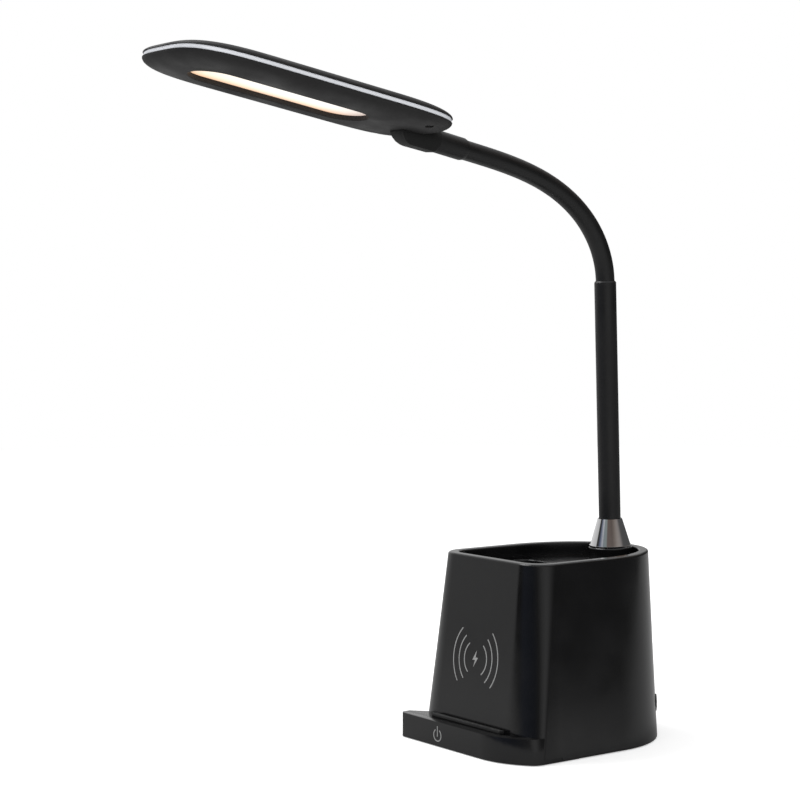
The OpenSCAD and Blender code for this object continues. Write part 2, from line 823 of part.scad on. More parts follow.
// A bowl of quarter-ellipse section: depth h, drawn in by side and tip at its flat
bowl_steps = 4;
module bowl(h, side, tip, off) {
    hull() for (i = [0:bowl_steps]) let (t = 90 * i / bowl_steps)
        head_slab(h * sin(t), off + side * (1 - cos(t)), off + tip * (1 - cos(t)));
}

module window_plate(grow, z, h) {
    translate([0, -window_off, z]) linear_extrude(height = h) {
        square([window_w + 2 * grow, window_l - window_w], center = true);
        for (s = [-1, 1]) translate([0, s * (window_l - window_w) / 2])
            circle(d = window_w + 2 * grow, $fn = fine);
    }
}

// Screws of the head, and the bosses that they pass
head_screw_y = head_l / 2 - head_screw_in;
head_screws_at = [[-head_screw_x, head_screw_y], [head_screw_x, head_screw_y]];
head_screw_d = 2.6;
head_screw_l = 7;
head_screw_head_d = 4.6;
head_screw_head_t = 1.2;
head_hole_d = 5;
head_boss_d = 6;
head_boss_in = 2.3;
head_seat_in = 2.9;
head_boss_z = -lower_h + head_boss_in;
head_seat_z = -lower_h + head_seat_in;

// Screws of the shoe
socket_screw_in = 21.5;
socket_screw_y = collar_y - socket_screw_in;
socket_screw_x = 3.2;
socket_screws_at = [[-socket_screw_x, socket_screw_y], [socket_screw_x, socket_screw_y]];
socket_screw_d = 2.4;
socket_screw_l = 4;
socket_head_d = 4.2;
socket_head_t = 1.4;

// Way of the leads from the collar through the shoe into the head
lead_l = 13;

module lead_way() {
    collar_face() translate([0, 0, -1]) cylinder(d = link_bore, h = lead_l + 1, $fn = fine);
}

module head_lower_shell() {
    color(black) head_frame() {
        difference() {
            union() {
                difference() {
                    mirror([0, 0, 1]) bowl(lower_h, lower_in, lower_in, 0);
                    translate([0, 0, eps]) mirror([0, 0, 1])
                        bowl(lower_h - shell_t, lower_in - shell_t, lower_in - shell_t, shell_t);
                }
                window_plate(diffuser_lip, -lower_h + shell_t / 2, window_depth - shell_t / 2);
                for (p = head_screws_at) translate([p[0], p[1], head_boss_z])
                    cylinder(d = head_boss_d, h = -head_boss_z, $fn = fine);
            }
            window_plate(0, -lower_h - 1, lower_h);
            for (p = head_screws_at) translate([p[0], p[1], -lower_h - 1]) {
                cylinder(d = head_screw_d + 2 * slip, h = lower_h + 2, $fn = fine);
                cylinder(d = head_hole_d, h = head_seat_z + lower_h + 1, $fn = fine);
            }
            for (p = socket_screws_at) translate([p[0], p[1], -lower_h - 1])
                cylinder(d = socket_screw_d + 2 * slip, h = lower_h, $fn = fine);
            lead_way();
        }
    }
}

module head_screws() {
    color(steel) head_frame() for (p = head_screws_at) translate([p[0], p[1], head_seat_z]) {
        translate([0, 0, -head_screw_head_t])
            cylinder(d = head_screw_head_d, h = head_screw_head_t, $fn = fine);
        translate([0, 0, -eps]) cylinder(d = head_screw_d - thread_play, h = head_screw_l, $fn = fine);
    }
}

module trim_band() {
    color("#cfd2da") head_frame() linear_extrude(height = band_h) difference() {
        polygon(head_outline(band_in, band_in));
        polygon(head_outline(band_in + band_w, band_in + band_w));
    }
}

module head_top_cover() {
    color(black) head_frame() translate([0, 0, band_h]) {
        difference() {
            bowl(top_h, top_in, top_end_in, 0);
            translate([0, 0, -2 * eps])
                bowl(top_h - shell_t, top_in - shell_t, top_end_in - shell_t, shell_t);
        }
        for (p = head_screws_at) translate([p[0], p[1], -band_h]) difference() {
            cylinder(d = head_boss_d, h = band_h + top_h - shell_t, $fn = fine);
            translate([0, 0, -1]) cylinder(d = head_screw_d, h = band_h + top_h - shell_t, $fn = fine);
        }
    }
}

// Light stack above the window
diffuser_t = 1.2;
diffuser_lip = 2;
reflector_h = 3;
led_t = 1.2;
led_chip = [2.8, 3.5, 0.8];
stack_z = -lower_h + window_depth;

module diffuser() {
    color(warm) head_frame() window_plate(diffuser_lip, stack_z, diffuser_t);
}

module reflector() {
    color("white") head_frame() difference() {
        window_plate(diffuser_lip, stack_z + diffuser_t, reflector_h);
        window_plate(0, stack_z + diffuser_t - 1, reflector_h + 2);
    }
}

led_rows = 2;
led_cols = 10;
led_pitch = (window_l - window_w) / (led_cols - 1);

module led_board() {
    color("white") head_frame() {
        window_plate(diffuser_lip, stack_z + diffuser_t + reflector_h, led_t);
        for (i = [0:led_cols - 1], j = [0:led_rows - 1])
            translate([(j - 0.5) * window_w / 2 - led_chip[0] / 2,
                       -window_off + (i - (led_cols - 1) / 2) * led_pitch - led_chip[1] / 2,
                       stack_z + diffuser_t + reflector_h - led_chip[2]])
                cube(led_chip + [0, 0, eps]);
    }
}

// Shoe between the end collar and the lower shell
shoe_back_y = collar_y;
shoe_step = 0.4;
shoe_low_z = -head_rise - collar_d / 2 - shoe_step;

// Frame of the end collar's upper face, seen from the head's frame
module collar_face() {
    translate([0, collar_y, -head_rise]) rotate([90 - head_tilt, 0, 0]) children();
}

module shoe_body() {
    hull() {
        collar_face() cylinder(d = collar_d + shoe_step, h = 2, $fn = 32);
        translate([-shoe_w / 2, shoe_back_y - shoe_flat - shoe_slope, -lower_h - 1])
            cube([shoe_w, shoe_flat + shoe_slope - 8, 3]);
        translate([-shoe_w / 3, shoe_back_y - shoe_flat, shoe_low_z])
            cube([shoe_w * 2 / 3, shoe_flat - 2, 1]);
    }
}

module head_socket() {
    color(black) head_frame() difference() {
        shoe_body();
        mirror([0, 0, 1]) bowl(lower_h, lower_in, lower_in, 0);
        translate([0, 0, -eps]) linear_extrude(height = band_h) polygon(head_outline(0, 0));
        for (p = socket_screws_at) translate([p[0], p[1], -lower_h - socket_screw_l - 1])
            cylinder(d = socket_screw_d, h = 2 * socket_screw_l, $fn = fine);
        lead_way();
    }
}

module socket_screws() {
    color(steel) head_frame() for (p = socket_screws_at) translate([p[0], p[1], -lower_h + shell_t]) {
        cylinder(d = socket_head_d, h = socket_head_t, $fn = fine);
        translate([0, 0, -shell_t - socket_screw_l])
            cylinder(d = socket_screw_d - thread_play, h = shell_t + socket_screw_l + eps, $fn = fine);
    }
}

pot_shell();
phone_rest_strip();
pen_insert();
bottom_plate();
rubber_feet();
bottom_screws();
ballast_weight();
ballast_screws();
control_board();
board_screws();
charging_coil();
ferrite_sheet();
coil_carrier();
touch_pad();
power_inlet();
cone_collar();
post_tube();
post_stud();
column_washer();
column_nut();
neck_root();
neck_link(0);  // neck_link_1
neck_link(1);  // neck_link_2
neck_link(2);  // neck_link_3
neck_link(3);  // neck_link_4
neck_link(4);  // neck_link_5
neck_link(5);  // neck_link_6
neck_link(6);  // neck_link_7
neck_link(7);  // neck_link_8
neck_link(8);  // neck_link_9
neck_last_link();  // neck_link_10
end_collar();
head_socket();
head_lower_shell();
trim_band();
head_top_cover();
diffuser();
reflector();
led_board();
head_screws();
socket_screws();
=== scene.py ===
# %% Load the frame
import json
from math import atan, atan2, cos, pi, radians, sin, sqrt, tan

import bmesh
import bpy
from mathutils import Matrix, Vector


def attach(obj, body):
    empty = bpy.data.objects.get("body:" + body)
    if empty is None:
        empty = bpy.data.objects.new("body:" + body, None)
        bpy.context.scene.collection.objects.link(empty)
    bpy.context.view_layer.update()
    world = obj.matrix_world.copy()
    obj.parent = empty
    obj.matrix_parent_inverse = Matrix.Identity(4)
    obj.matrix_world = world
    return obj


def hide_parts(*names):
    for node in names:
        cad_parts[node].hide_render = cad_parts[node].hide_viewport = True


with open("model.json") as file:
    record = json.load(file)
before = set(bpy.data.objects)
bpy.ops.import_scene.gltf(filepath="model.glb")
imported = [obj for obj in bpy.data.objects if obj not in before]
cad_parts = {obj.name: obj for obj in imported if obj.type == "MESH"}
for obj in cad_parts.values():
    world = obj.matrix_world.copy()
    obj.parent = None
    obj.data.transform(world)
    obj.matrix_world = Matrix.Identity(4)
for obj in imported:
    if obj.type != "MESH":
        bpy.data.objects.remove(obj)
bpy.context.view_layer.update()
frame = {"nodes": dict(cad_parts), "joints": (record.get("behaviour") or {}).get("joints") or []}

MM = 0.001
nodes = frame["nodes"]

# %% [markdown]
# # A desk lamp on a pen pot
# The object is a black plastic pen pot with a sloping phone face, a chrome cone, a straight post,
# a gooseneck and a flat LED head with a silver band. The CAD frame already holds every piece at its
# true size. This script gives the pieces their finished surface: rounded edges, smooth curves,
# grain, gloss and light.
#
# All sizes below are millimetres, and they turn into metres only where a mesh is written.

# %% Sizes of the pot
FOOT_W, RIM_W = 119.0, 91.2          # width at the foot and at the rim
RIM_Z = 112.0                        # height of the rim
FACE_FOOT, FACE_RIM = 60.8, 48.7     # the phone face in front of the centre, at foot and rim
CORNER_FOOT, CORNER_RIM = 27.0, 15.2
SIDE_FOOT, SIDE_RIM = 8.0, 15.2      # the right corner is shallower than wide at its foot
BACK_MID, BACK_DEPTH = 10.0, 59.2    # the round back is half an ellipse
WALL = 2.4
RIM_BAND, RIM_ROUND, RIM_ROOF = 6.0, 1.2, 4.0
SKIRT = 1.8
SHELF_Z = RIM_Z - 9.4
PLATE_T, REBATE = 2.4, 1.2
INNER_CORNER = 0.6                   # share of an inset that a corner radius loses


# %% Helpers for outlines
def mix(a, b, t):
    """The value a share t of the way from a to b."""
    return a + (b - a) * t


def arc(middle, rx, ry, start, end, steps):
    """Points on an arc of a circle or an ellipse, angles in degrees."""
    turns = [radians(mix(start, end, i / steps)) for i in range(steps + 1)]
    return [(middle[0] + rx * cos(t), middle[1] + ry * sin(t)) for t in turns]


GUARD = 0.4          # extra points this close to a bend keep a flat face flat in its shading
SIDE_KNEE = 12.0     # how far behind the right corner the wall's foot changes its height
CORNER_STEPS = 20
BACK_STEPS = 90


def pot_outline(z, inset):
    """The pot's outline at height z, drawn in by inset, counter-clockwise from above."""
    up = z / RIM_Z
    half = mix(FOOT_W, RIM_W, up) / 2 - inset
    front = mix(FACE_FOOT, FACE_RIM, up) - inset
    r = mix(CORNER_FOOT, CORNER_RIM, up) - inset * INNER_CORNER
    rs = mix(SIDE_FOOT, SIDE_RIM, up) - inset * INNER_CORNER
    left = arc((-half + r, -front + r), r, r, 180, 270, CORNER_STEPS)
    right = arc((half - r, -front + rs), r, rs, 270, 360, CORNER_STEPS)
    back = arc((0, BACK_MID), half, BACK_DEPTH - inset, 0, 180, BACK_STEPS)
    face = [(-half + r + GUARD, -front), (half - r - GUARD, -front)]
    first = -front + rs + GUARD
    step = first + SIDE_KNEE * (1 - up) + GUARD
    side = [(half, first), (half, step), (half, step + 2 * GUARD), (half, BACK_MID - GUARD)]
    other = [(-half, BACK_MID - GUARD), (-half, -front + r + GUARD)]
    return left + face + right + side + back + other


print("points round the pot:", len(pot_outline(0, 0)))


# %% Helpers for meshes
def ring(outline, z):
    """Lifts a flat outline to height z."""
    return [Vector((x, y, z)) for x, y in outline]


def loft(rings, loop=False, caps=True):
    """Vertices and faces of a skin over rings of equal length. A loop joins last to first."""
    count = len(rings[0])
    verts = [p for points in rings for p in points]
    faces = []
    spans = len(rings) if loop else len(rings) - 1
    for i in range(spans):
        a, b = i * count, (i + 1) % len(rings) * count
        for j in range(count):
            k = (j + 1) % count
            faces.append((a + j, a + k, b + k, b + j))
    if caps and not loop:
        faces.append(tuple(reversed(range(count))))
        faces.append(tuple(range(len(verts) - count, len(verts))))
    return verts, faces


SHARP = radians(35)


def mesh_piece(name, parts, place=None):
    """One object from lists of (vertices, faces) in millimetres, turned outward and closed."""
    bm = bmesh.new()
    for verts, faces in parts:
        made = [bm.verts.new((place @ v if place else v) * MM) for v in verts]
        for face in faces:
            bm.faces.new([made[i] for i in face])
    bmesh.ops.remove_doubles(bm, verts=bm.verts, dist=1e-7)
    bmesh.ops.dissolve_degenerate(bm, dist=1e-7, edges=bm.edges)
    bmesh.ops.recalc_face_normals(bm, faces=bm.faces)
    return shown(name, bm)


def shown(name, bm):
    """An object in the scene from a finished bmesh."""
    mesh = bpy.data.meshes.new(name)
    bm.to_mesh(mesh)
    bm.free()
    shade(mesh)
    piece = bpy.data.objects.new(name, mesh)
    bpy.context.scene.collection.objects.link(piece)
    return piece


def shade(mesh):
    """Smooth shading that stops at edges sharper than SHARP."""
    mesh.shade_smooth()
    mesh.set_sharp_from_angle(angle=SHARP)


def applied(piece):
    """The piece with its modifiers turned into plain mesh."""
    bpy.context.view_layer.update()
    graph = bpy.context.evaluated_depsgraph_get()
    mesh = bpy.data.meshes.new_from_object(piece.evaluated_get(graph))
    piece.modifiers.clear()
    piece.data = mesh
    shade(mesh)
    return piece


def cut(piece, cutter):
    """Cuts the cutter's shape out of the piece."""
    change = piece.modifiers.new("cut", "BOOLEAN")
    change.operation = "DIFFERENCE"
    change.solver = "EXACT"
    change.object = cutter
    applied(piece)
    bpy.data.objects.remove(cutter)
    return piece


def bevelled(piece, width, segments=3):
    """Rounds the piece's sharp edges by width, in millimetres."""
    change = piece.modifiers.new("round", "BEVEL")
    change.width = width * MM
    change.segments = segments
    change.limit_method = "ANGLE"
    change.angle_limit = SHARP
    change.harden_normals = False
    return applied(piece)


def settle(piece, body, slot, material, *stands_for):
    """Gives a finished piece its material and its body, and hides the CAD nodes that it stands for.
    """
    piece.data.materials.clear()
    piece.data.materials.append(material)
    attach(piece, body)
    if stands_for:
        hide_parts(*stands_for)
    print(f"{piece.name}: {len(piece.data.polygons)} faces on {body}")
    return piece


# %% [markdown]
# # Finishes
# Real moulded plastic is never one flat colour. It carries a fine grain from the tool, patches
# where the gloss differs a little, and faint dust. Two node groups hold these effects, and each
# material places them with its own values. Values that are the same all over stay on the shader's
# own sockets, because only those survive when the model is exported.

# %% Helpers for shader nodes
def new_group(name, inputs, outputs):
    """An empty shader group with float inputs (name: value) and named outputs."""
    tree = bpy.data.node_groups.new(name, "ShaderNodeTree")
    for title, value in inputs.items():
        socket = tree.interface.new_socket(title, in_out="INPUT", socket_type="NodeSocketFloat")
        socket.default_value = value
    for title, kind in outputs.items():
        tree.interface.new_socket(title, in_out="OUTPUT", socket_type=kind)
    return tree, tree.nodes.new("NodeGroupInput"), tree.nodes.new("NodeGroupOutput")


def add(tree, kind, **values):
    """A node with properties or, for names that are sockets, input values."""
    node = tree.nodes.new(kind)
    for title, value in values.items():
        if hasattr(node, title):
            setattr(node, title, value)
        else:
            node.inputs[title.replace("_", " ")].default_value = value
    return node


def feed(tree, sockets, values):
    """Gives each socket its value: a number, a colour, or the output that it is linked to."""
    for socket, value in zip(sockets, values):
        if isinstance(value, (int, float, tuple)):
            socket.default_value = value
        else:
            tree.links.new(value, socket)


def math_node(tree, operation, a, b=0.0):
    """A math node on sockets or numbers."""
    node = add(tree, "ShaderNodeMath", operation=operation)
    feed(tree, node.inputs, (a, b))
    return node.outputs[0]


def mixed(tree, share, first, second, blend="MIX"):
    """The colour output of a mix of two colours, each a socket or a value, by share."""
    node = add(tree, "ShaderNodeMix", data_type="RGBA", blend_type=blend)
    colours = [socket for socket in node.inputs if socket.type == "RGBA"]
    feed(tree, [node.inputs[0], *colours], (share, first, second))
    return [socket for socket in node.outputs if socket.type == "RGBA"][0]


def ranged(tree, value, low, high, to_low=0.0, to_high=1.0, step="LINEAR"):
    """The value's place between low and high, as a number between to_low and to_high."""
    node = add(tree, "ShaderNodeMapRange", interpolation_type=step)
    feed(tree, node.inputs, (value, low, high, to_low, to_high))
    return node.outputs["Result"]


def speckle(tree, scale, **look):
    """Noise in the object's own coordinates, at the scale that a socket gives."""
    place = add(tree, "ShaderNodeTexCoord")
    noise = add(tree, "ShaderNodeTexNoise", **look)
    feed(tree, [noise.inputs["Vector"], noise.inputs["Scale"]], [place.outputs["Object"], scale])
    return noise.outputs["Fac"]


# %% Group for moulded grain
grain, grain_in, grain_out = new_group(
    "moulded_grain", {"Scale": 900.0, "Patch scale": 40.0},
    {"Height": "NodeSocketFloat", "Patch": "NodeSocketFloat"})
for size, result, look in (("Scale", "Height", {"Detail": 4.0, "Roughness": 0.6}),
                           ("Patch scale", "Patch", {"Detail": 2.0})):
    noise = speckle(grain, grain_in.outputs[size], **look)
    grain.links.new(noise, grain_out.inputs[result])
print("group:", grain.name)

# %% Group for dust that settles on faces that look up
dust, dust_in, dust_out = new_group("settled_dust", {"Amount": 0.3, "Scale": 500.0},
                                    {"Mask": "NodeSocketFloat"})
dust_shape = add(dust, "ShaderNodeNewGeometry")
dust_split = add(dust, "ShaderNodeSeparateXYZ")
dust.links.new(dust_shape.outputs["Normal"], dust_split.inputs[0])
specks_seen = ranged(dust, speckle(dust, dust_in.outputs["Scale"], Detail=6.0, Roughness=0.7),
                     0.5, 0.75)
looks_up = math_node(dust, "MAXIMUM", dust_split.outputs["Z"], 0.0)
dust_amount = math_node(dust, "MULTIPLY", looks_up, dust_in.outputs["Amount"])
dust.links.new(math_node(dust, "MULTIPLY", dust_amount, specks_seen), dust_out.inputs["Mask"])
print("group:", dust.name)

# %% One function for every opaque finish
DUST_COLOUR = (0.28, 0.27, 0.26, 1.0)
COAT_ROUGH, GRAIN_DEPTH = 0.08, 0.001


def new_material(name, **sockets):
    """A Principled material with the given values, its node tree and its shader."""
    material = bpy.data.materials.new(name)
    material.use_nodes = True
    shader = material.node_tree.nodes["Principled BSDF"]
    for title, value in sockets.items():
        shader.inputs[title.replace("_", " ")].default_value = value
    return material, material.node_tree, shader


def finish(name, colour, rough, vary=0.25, grain_scale=900.0, bump=0.02, patch=40.0, dusty=0.2,
           metallic=0.0, specular=0.5, coat=0.0):
    """A Principled material with patches in its colour and gloss, grain and dust."""
    material, tree, shader = new_material(
        name, Metallic=metallic, Specular_IOR_Level=specular, Coat_Weight=coat,
        Coat_Roughness=COAT_ROUGH)
    texture = add(tree, "ShaderNodeGroup", node_tree=grain)
    texture.inputs["Scale"].default_value = grain_scale
    texture.inputs["Patch scale"].default_value = patch
    specks = add(tree, "ShaderNodeGroup", node_tree=dust)
    specks.inputs["Amount"].default_value = dusty
    darker = (*[c * (1 - vary) for c in colour], 1.0)
    paler = (*[min(1.0, c * (1 + vary)) for c in colour], 1.0)
    shades = mixed(tree, texture.outputs["Patch"], darker, paler)
    powdered = mixed(tree, specks.outputs["Mask"], shades, DUST_COLOUR)
    gloss = ranged(tree, texture.outputs["Patch"], 0.3, 0.7, rough * (1 - vary), rough * (1 + vary))
    relief = add(tree, "ShaderNodeBump", Strength=bump, Distance=GRAIN_DEPTH)
    tree.links.new(texture.outputs["Height"], relief.inputs["Height"])
    feed(tree, [shader.inputs[title] for title in ("Base Color", "Roughness", "Normal")],
         [powdered, gloss, relief.outputs["Normal"]])
    return material


# %% The finishes of this lamp
gloss_black = finish("gloss_black", (0.0045, 0.0045, 0.0048), 0.15, bump=0.012, dusty=0.04)
inside_black = finish("inside_black", (0.006, 0.006, 0.0065), 0.3, bump=0.05, dusty=0.12)
satin_sleeve = finish("satin_sleeve", (0.0032, 0.0032, 0.0036), 0.42, grain_scale=1500,
                      bump=0.06, dusty=0.06)
matt_shell = finish("matt_shell", (0.0135, 0.0130, 0.0134), 0.6, grain_scale=2200, bump=0.10,
                    dusty=0.06, specular=0.4)
shoe_black = finish("shoe_black", (0.0055, 0.0057, 0.0056), 0.55, grain_scale=2000, bump=0.08,
                    dusty=0.05, specular=0.35)
soft_rubber = finish("soft_rubber", (0.012, 0.012, 0.012), 0.75, grain_scale=1800, bump=0.2)
polished_chrome = finish("polished_chrome", (0.86, 0.86, 0.87), 0.05, vary=0.05, bump=0.003,
                         dusty=0.02, metallic=1.0)
silver_band = finish("silver_band", (0.88, 0.90, 0.95), 0.3, vary=0.04, bump=0.02, dusty=0.0,
                     metallic=0.05, specular=0.8)
zinc_steel = finish("zinc_steel", (0.52, 0.53, 0.55), 0.32, vary=0.15, bump=0.03, metallic=1.0)
cast_weight = finish("cast_weight", (0.10, 0.10, 0.105), 0.6, vary=0.3, grain_scale=600, bump=0.5,
                     metallic=0.9)
board_green = finish("board_green", (0.02, 0.13, 0.05), 0.3, vary=0.2, bump=0.05)
copper_wire = finish("copper_wire", (0.72, 0.33, 0.16), 0.28, vary=0.15, bump=0.2, metallic=1.0)
dull_ferrite = finish("dull_ferrite", (0.03, 0.03, 0.032), 0.7, vary=0.3, bump=0.2)
white_plastic = finish("white_plastic", (0.8, 0.8, 0.78), 0.4, vary=0.04, bump=0.02)
led_white = finish("led_white", (0.78, 0.74, 0.5), 0.35, vary=0.06, bump=0.02)
mark_grey = finish("mark_grey", (0.33, 0.33, 0.33), 0.45, vary=0.06, bump=0.02, dusty=0.0)
print("finishes:", len(bpy.data.materials))

# %% [markdown]
# # The pot
# One moulding makes the pot: a drafted wall, a rolled rim and a skirt inside it. Its cross sections
# follow one rule, so the wall is a loft over rings: each ring is the same outline at another height
# and inset. Going up the outside, over the rim, and down the inside gives a wall with thickness
# whose last ring joins the first.


# %% Wall and rim of the pot
def rim_roll():
    """Rings over the rolled rim, from the outer wall to the inner one."""
    steps = 6
    turns = [radians(90 * i / steps) for i in range(steps + 1)]
    rings = []
    for t in turns:
        z = RIM_Z - RIM_ROUND + RIM_ROUND * sin(t)
        rings.append(ring(pot_outline(z, RIM_ROUND * (1 - cos(t))), z))
    for inset in (RIM_ROUND + GUARD, RIM_BAND - RIM_ROUND - GUARD):
        rings.append(ring(pot_outline(RIM_Z, inset), RIM_Z))
    for t in turns:
        z = RIM_Z - RIM_ROUND + RIM_ROUND * cos(t)
        rings.append(ring(pot_outline(RIM_Z, RIM_BAND - RIM_ROUND + RIM_ROUND * sin(t)), z))
    return rings


EDGE = 0.5           # rounding of the wall's lower edge
outside = [(0, EDGE), (EDGE * 0.3, EDGE * 0.3), (EDGE, 0), (EDGE + GUARD, 0),
           (RIM_Z / 2, 0), (RIM_Z - RIM_ROUND - GUARD, 0)]
wall_rings = [ring(pot_outline(z, inset), z) for z, inset in outside]
wall_rings += rim_roll()
inside = [(SHELF_Z, RIM_BAND), (SHELF_Z, RIM_BAND - SKIRT), (RIM_Z - RIM_ROOF, RIM_BAND - SKIRT)]
wall_rings += [ring(pot_outline(RIM_Z, inset), z) for z, inset in inside]
hidden = [(RIM_Z - RIM_ROOF, WALL), (PLATE_T, WALL), (PLATE_T, REBATE), (0, REBATE)]
wall_rings += [ring(pot_outline(z, inset), z) for z, inset in hidden]
LIFT_X, LIFT_Y, LIFT = -50.9, -39.7, 0.06  # here the wall's foot stands on the bottom plate
LIFT_KEEP = 0.05     # share of its height that a point of the lifted foot keeps
for points in wall_rings:
    for p in points:
        if p.z <= PLATE_T and p.y < LIFT_Y and p.x > LIFT_X:
            p.z = PLATE_T + LIFT + p.z * LIFT_KEEP
pot_skin = mesh_piece("pot_skin", [loft(wall_rings, loop=True)])

# %% The round boss that carries the post
POST_Y, POST_LEAN, POST_L, POST_D = 51.2, 1.9, 164.5, 13.5
BOSS_D, BOSS_H, BOSS_EDGE = 27.0, 16.0, 0.8
SLIP = 0.2
post_place = Matrix.Translation((0, POST_Y, RIM_Z)) @ Matrix.Rotation(radians(POST_LEAN), 4, "X")
ROUND = 96


def circle(radius, steps=ROUND):
    """A full circle's outline."""
    return arc((0, 0), radius, radius, 0, 360, steps)[:-1]


boss_profile = [(-BOSS_H, BOSS_D / 2), (-BOSS_EDGE - GUARD, BOSS_D / 2)]
for i in range(7):
    t = radians(15 * i)
    boss_profile.append((-BOSS_EDGE + BOSS_EDGE * sin(t), BOSS_D / 2 - BOSS_EDGE * (1 - cos(t))))
boss_profile += [(0, POST_D / 2 + SLIP), (-BOSS_H, POST_D / 2 + SLIP)]
boss_rings = [[post_place @ p for p in ring(circle(r), z)] for z, r in boss_profile]
TOP_GAP = 0.06       # keeps the boss's top just under the rim's
for points in boss_rings:
    for p in points:
        p.z = min(p.z, RIM_Z - TOP_GAP)
post_boss = mesh_piece("post_boss", [loft(boss_rings, loop=True)])
settle(post_boss, "base", "gloss_black", gloss_black)

# %% The hole for the power inlet
INLET_Z, INLET_TURN, INLET_HOLE = 19.2, 50.0, 8.4
INLET_SEAT, INLET_SEAT_D = 0.6, 10.8
INLET_REACH = 8.0    # how far the cutters pass through the wall
inlet_half = mix(FOOT_W, RIM_W, INLET_Z / RIM_Z) / 2
inlet_angle = atan(BACK_DEPTH / inlet_half * tan(radians(INLET_TURN)))
inlet_place = (Matrix.Translation((inlet_half * cos(inlet_angle),
                                   BACK_MID + BACK_DEPTH * sin(inlet_angle), INLET_Z))
               @ Matrix.Rotation(radians(INLET_TURN), 4, "Z")
               @ Matrix.Rotation(radians(90), 4, "Y"))
for low, across in ((-INLET_REACH, INLET_HOLE), (-INLET_SEAT, INLET_SEAT_D)):
    hole = loft([ring(circle(across / 2, 64), z) for z in (low, INLET_REACH)])
    cut(pot_skin, mesh_piece("cutter", [hole], inlet_place))
settle(pot_skin, "base", "gloss_black", gloss_black, "pot_shell")

# %% [markdown]
# # The phone ledge
# The ledge is a low block that wraps round the pot's right corner. A lip runs along its front and
# round the corner at full height. Behind the lip the top falls towards the phone face, so that a
# phone can't slide off. The block is a loft, the fall is one sloping cut whose edge follows the
# lip, and a bevel rounds all the edges, which then catch the light as moulded edges do.

# %% Outline of the ledge
LEDGE_Z, LEDGE_FRONT, LEDGE_LEFT = 14.6, 72.9, 52.1
LEDGE_LEFT_R, LEDGE_RIGHT_R, LEDGE_SIDE_R = 3.6, 46.0, 9.0
LEDGE_CORNER_X = 33.8
LEDGE_LIP, LEDGE_FALL, LEDGE_EDGE = 7.2, 9.0, 0.4
SIDE_STEP = 0.06     # keeps the block's side just inside the wall's


def ledge_right(z, inset):
    """The right half of the ledge's outline at height z, drawn in by inset, front to side."""
    w = mix(FOOT_W, RIM_W, z / RIM_Z) / 2 - SIDE_STEP - inset
    big_r, small_r = LEDGE_RIGHT_R - inset, LEDGE_SIDE_R - inset * INNER_CORNER
    big = (w + inset - LEDGE_CORNER_X, -LEDGE_FRONT + LEDGE_RIGHT_R)
    dx = w - small_r - big[0]
    small = (w - small_r, big[1] - sqrt((big_r - small_r) ** 2 - dx ** 2))
    turn = atan2(small[1] - big[1], dx) * 180 / pi
    points = arc(big, big_r, big_r, -90, turn, 30)
    points += arc(small, small_r, small_r, turn, 0, 10)[1:]
    return points + [(w, -CORNER_FOOT)]


def ledge_outline(z):
    """The ledge's outline at height z, counter-clockwise from above."""
    left = (-LEDGE_LEFT + LEDGE_LEFT_R, -LEDGE_FRONT + LEDGE_LEFT_R)
    points = arc(left, LEDGE_LEFT_R, LEDGE_LEFT_R, 180, 270, 12)
    return points + ledge_right(z, 0) + [(-LEDGE_LEFT, -CORNER_FOOT)]


# %% The ledge's body
fall = radians(LEDGE_FALL)
ledge_skin = mesh_piece("ledge_skin", [loft([ring(ledge_outline(z), z) for z in (0, LEDGE_Z)])])
channel = [(-FOOT_W, -LEDGE_FRONT + LEDGE_LIP)] + ledge_right(LEDGE_Z, LEDGE_LIP)
channel += [(channel[-1][0], 0.0), (-FOOT_W, 0.0)]
channel_floor = [Vector((x, y, LEDGE_Z - (y + LEDGE_FRONT - LEDGE_LIP) * tan(fall)))
                 for x, y in channel]
cut(ledge_skin, mesh_piece("cutter", [loft([channel_floor, ring(channel, 2 * LEDGE_Z)])]))
bevelled(ledge_skin, LEDGE_EDGE)
settle(ledge_skin, "base", "gloss_black", gloss_black)

# %% The soft strip at the foot of the phone face
STRIP_L, STRIP_W, STRIP_H, STRIP_BACK, STRIP_EDGE = 64.0, 4.0, 2.0, 1.4, 0.5
strip_place = (Matrix.Translation((0, -LEDGE_FRONT + LEDGE_LIP, LEDGE_Z))
               @ Matrix.Rotation(-fall, 4, "X") @ Matrix.Translation((0, STRIP_BACK, 0)))
strip_box = [(-STRIP_L / 2, 0), (STRIP_L / 2, 0), (STRIP_L / 2, STRIP_W), (-STRIP_L / 2, STRIP_W)]
rest_strip = mesh_piece("rest_strip", [loft([ring(strip_box, 0), ring(strip_box, STRIP_H)])],
                        strip_place)
bevelled(rest_strip, STRIP_EDGE)
settle(rest_strip, "base", "black_rubber", soft_rubber, "phone_rest_strip")

# %% [markdown]
# # The pen insert
# A second moulding drops into the pot from above: a shelf round a deep pocket. Rays from the
# pocket's middle find the pocket's edge for each point of the rim's outline, so shelf, mouth and
# pocket wall share one set of rings, and a Solidify modifier gives them their thickness.

# %% Pocket and shelf
def reach(outside, far=200.0):
    """How far a ray goes before it is outside, found by halving."""
    low, high = 0.0, far
    for _ in range(40):
        middle = (low + high) / 2
        low, high = (low, middle) if outside(middle) else (middle, high)
    return low


POCKET_STEP, POCKET_BACK, POCKET_R, POCKET_FLOOR, POCKET_T = 1.2, 15.5, 8.0, 47.0, 1.8
POCKET_HALF = RIM_W / 2 - RIM_BAND - POCKET_STEP
POCKET_FRONT = -FACE_RIM + RIM_BAND + POCKET_STEP
pocket_mid = Vector((0, (POCKET_FRONT + POCKET_BACK) / 2))


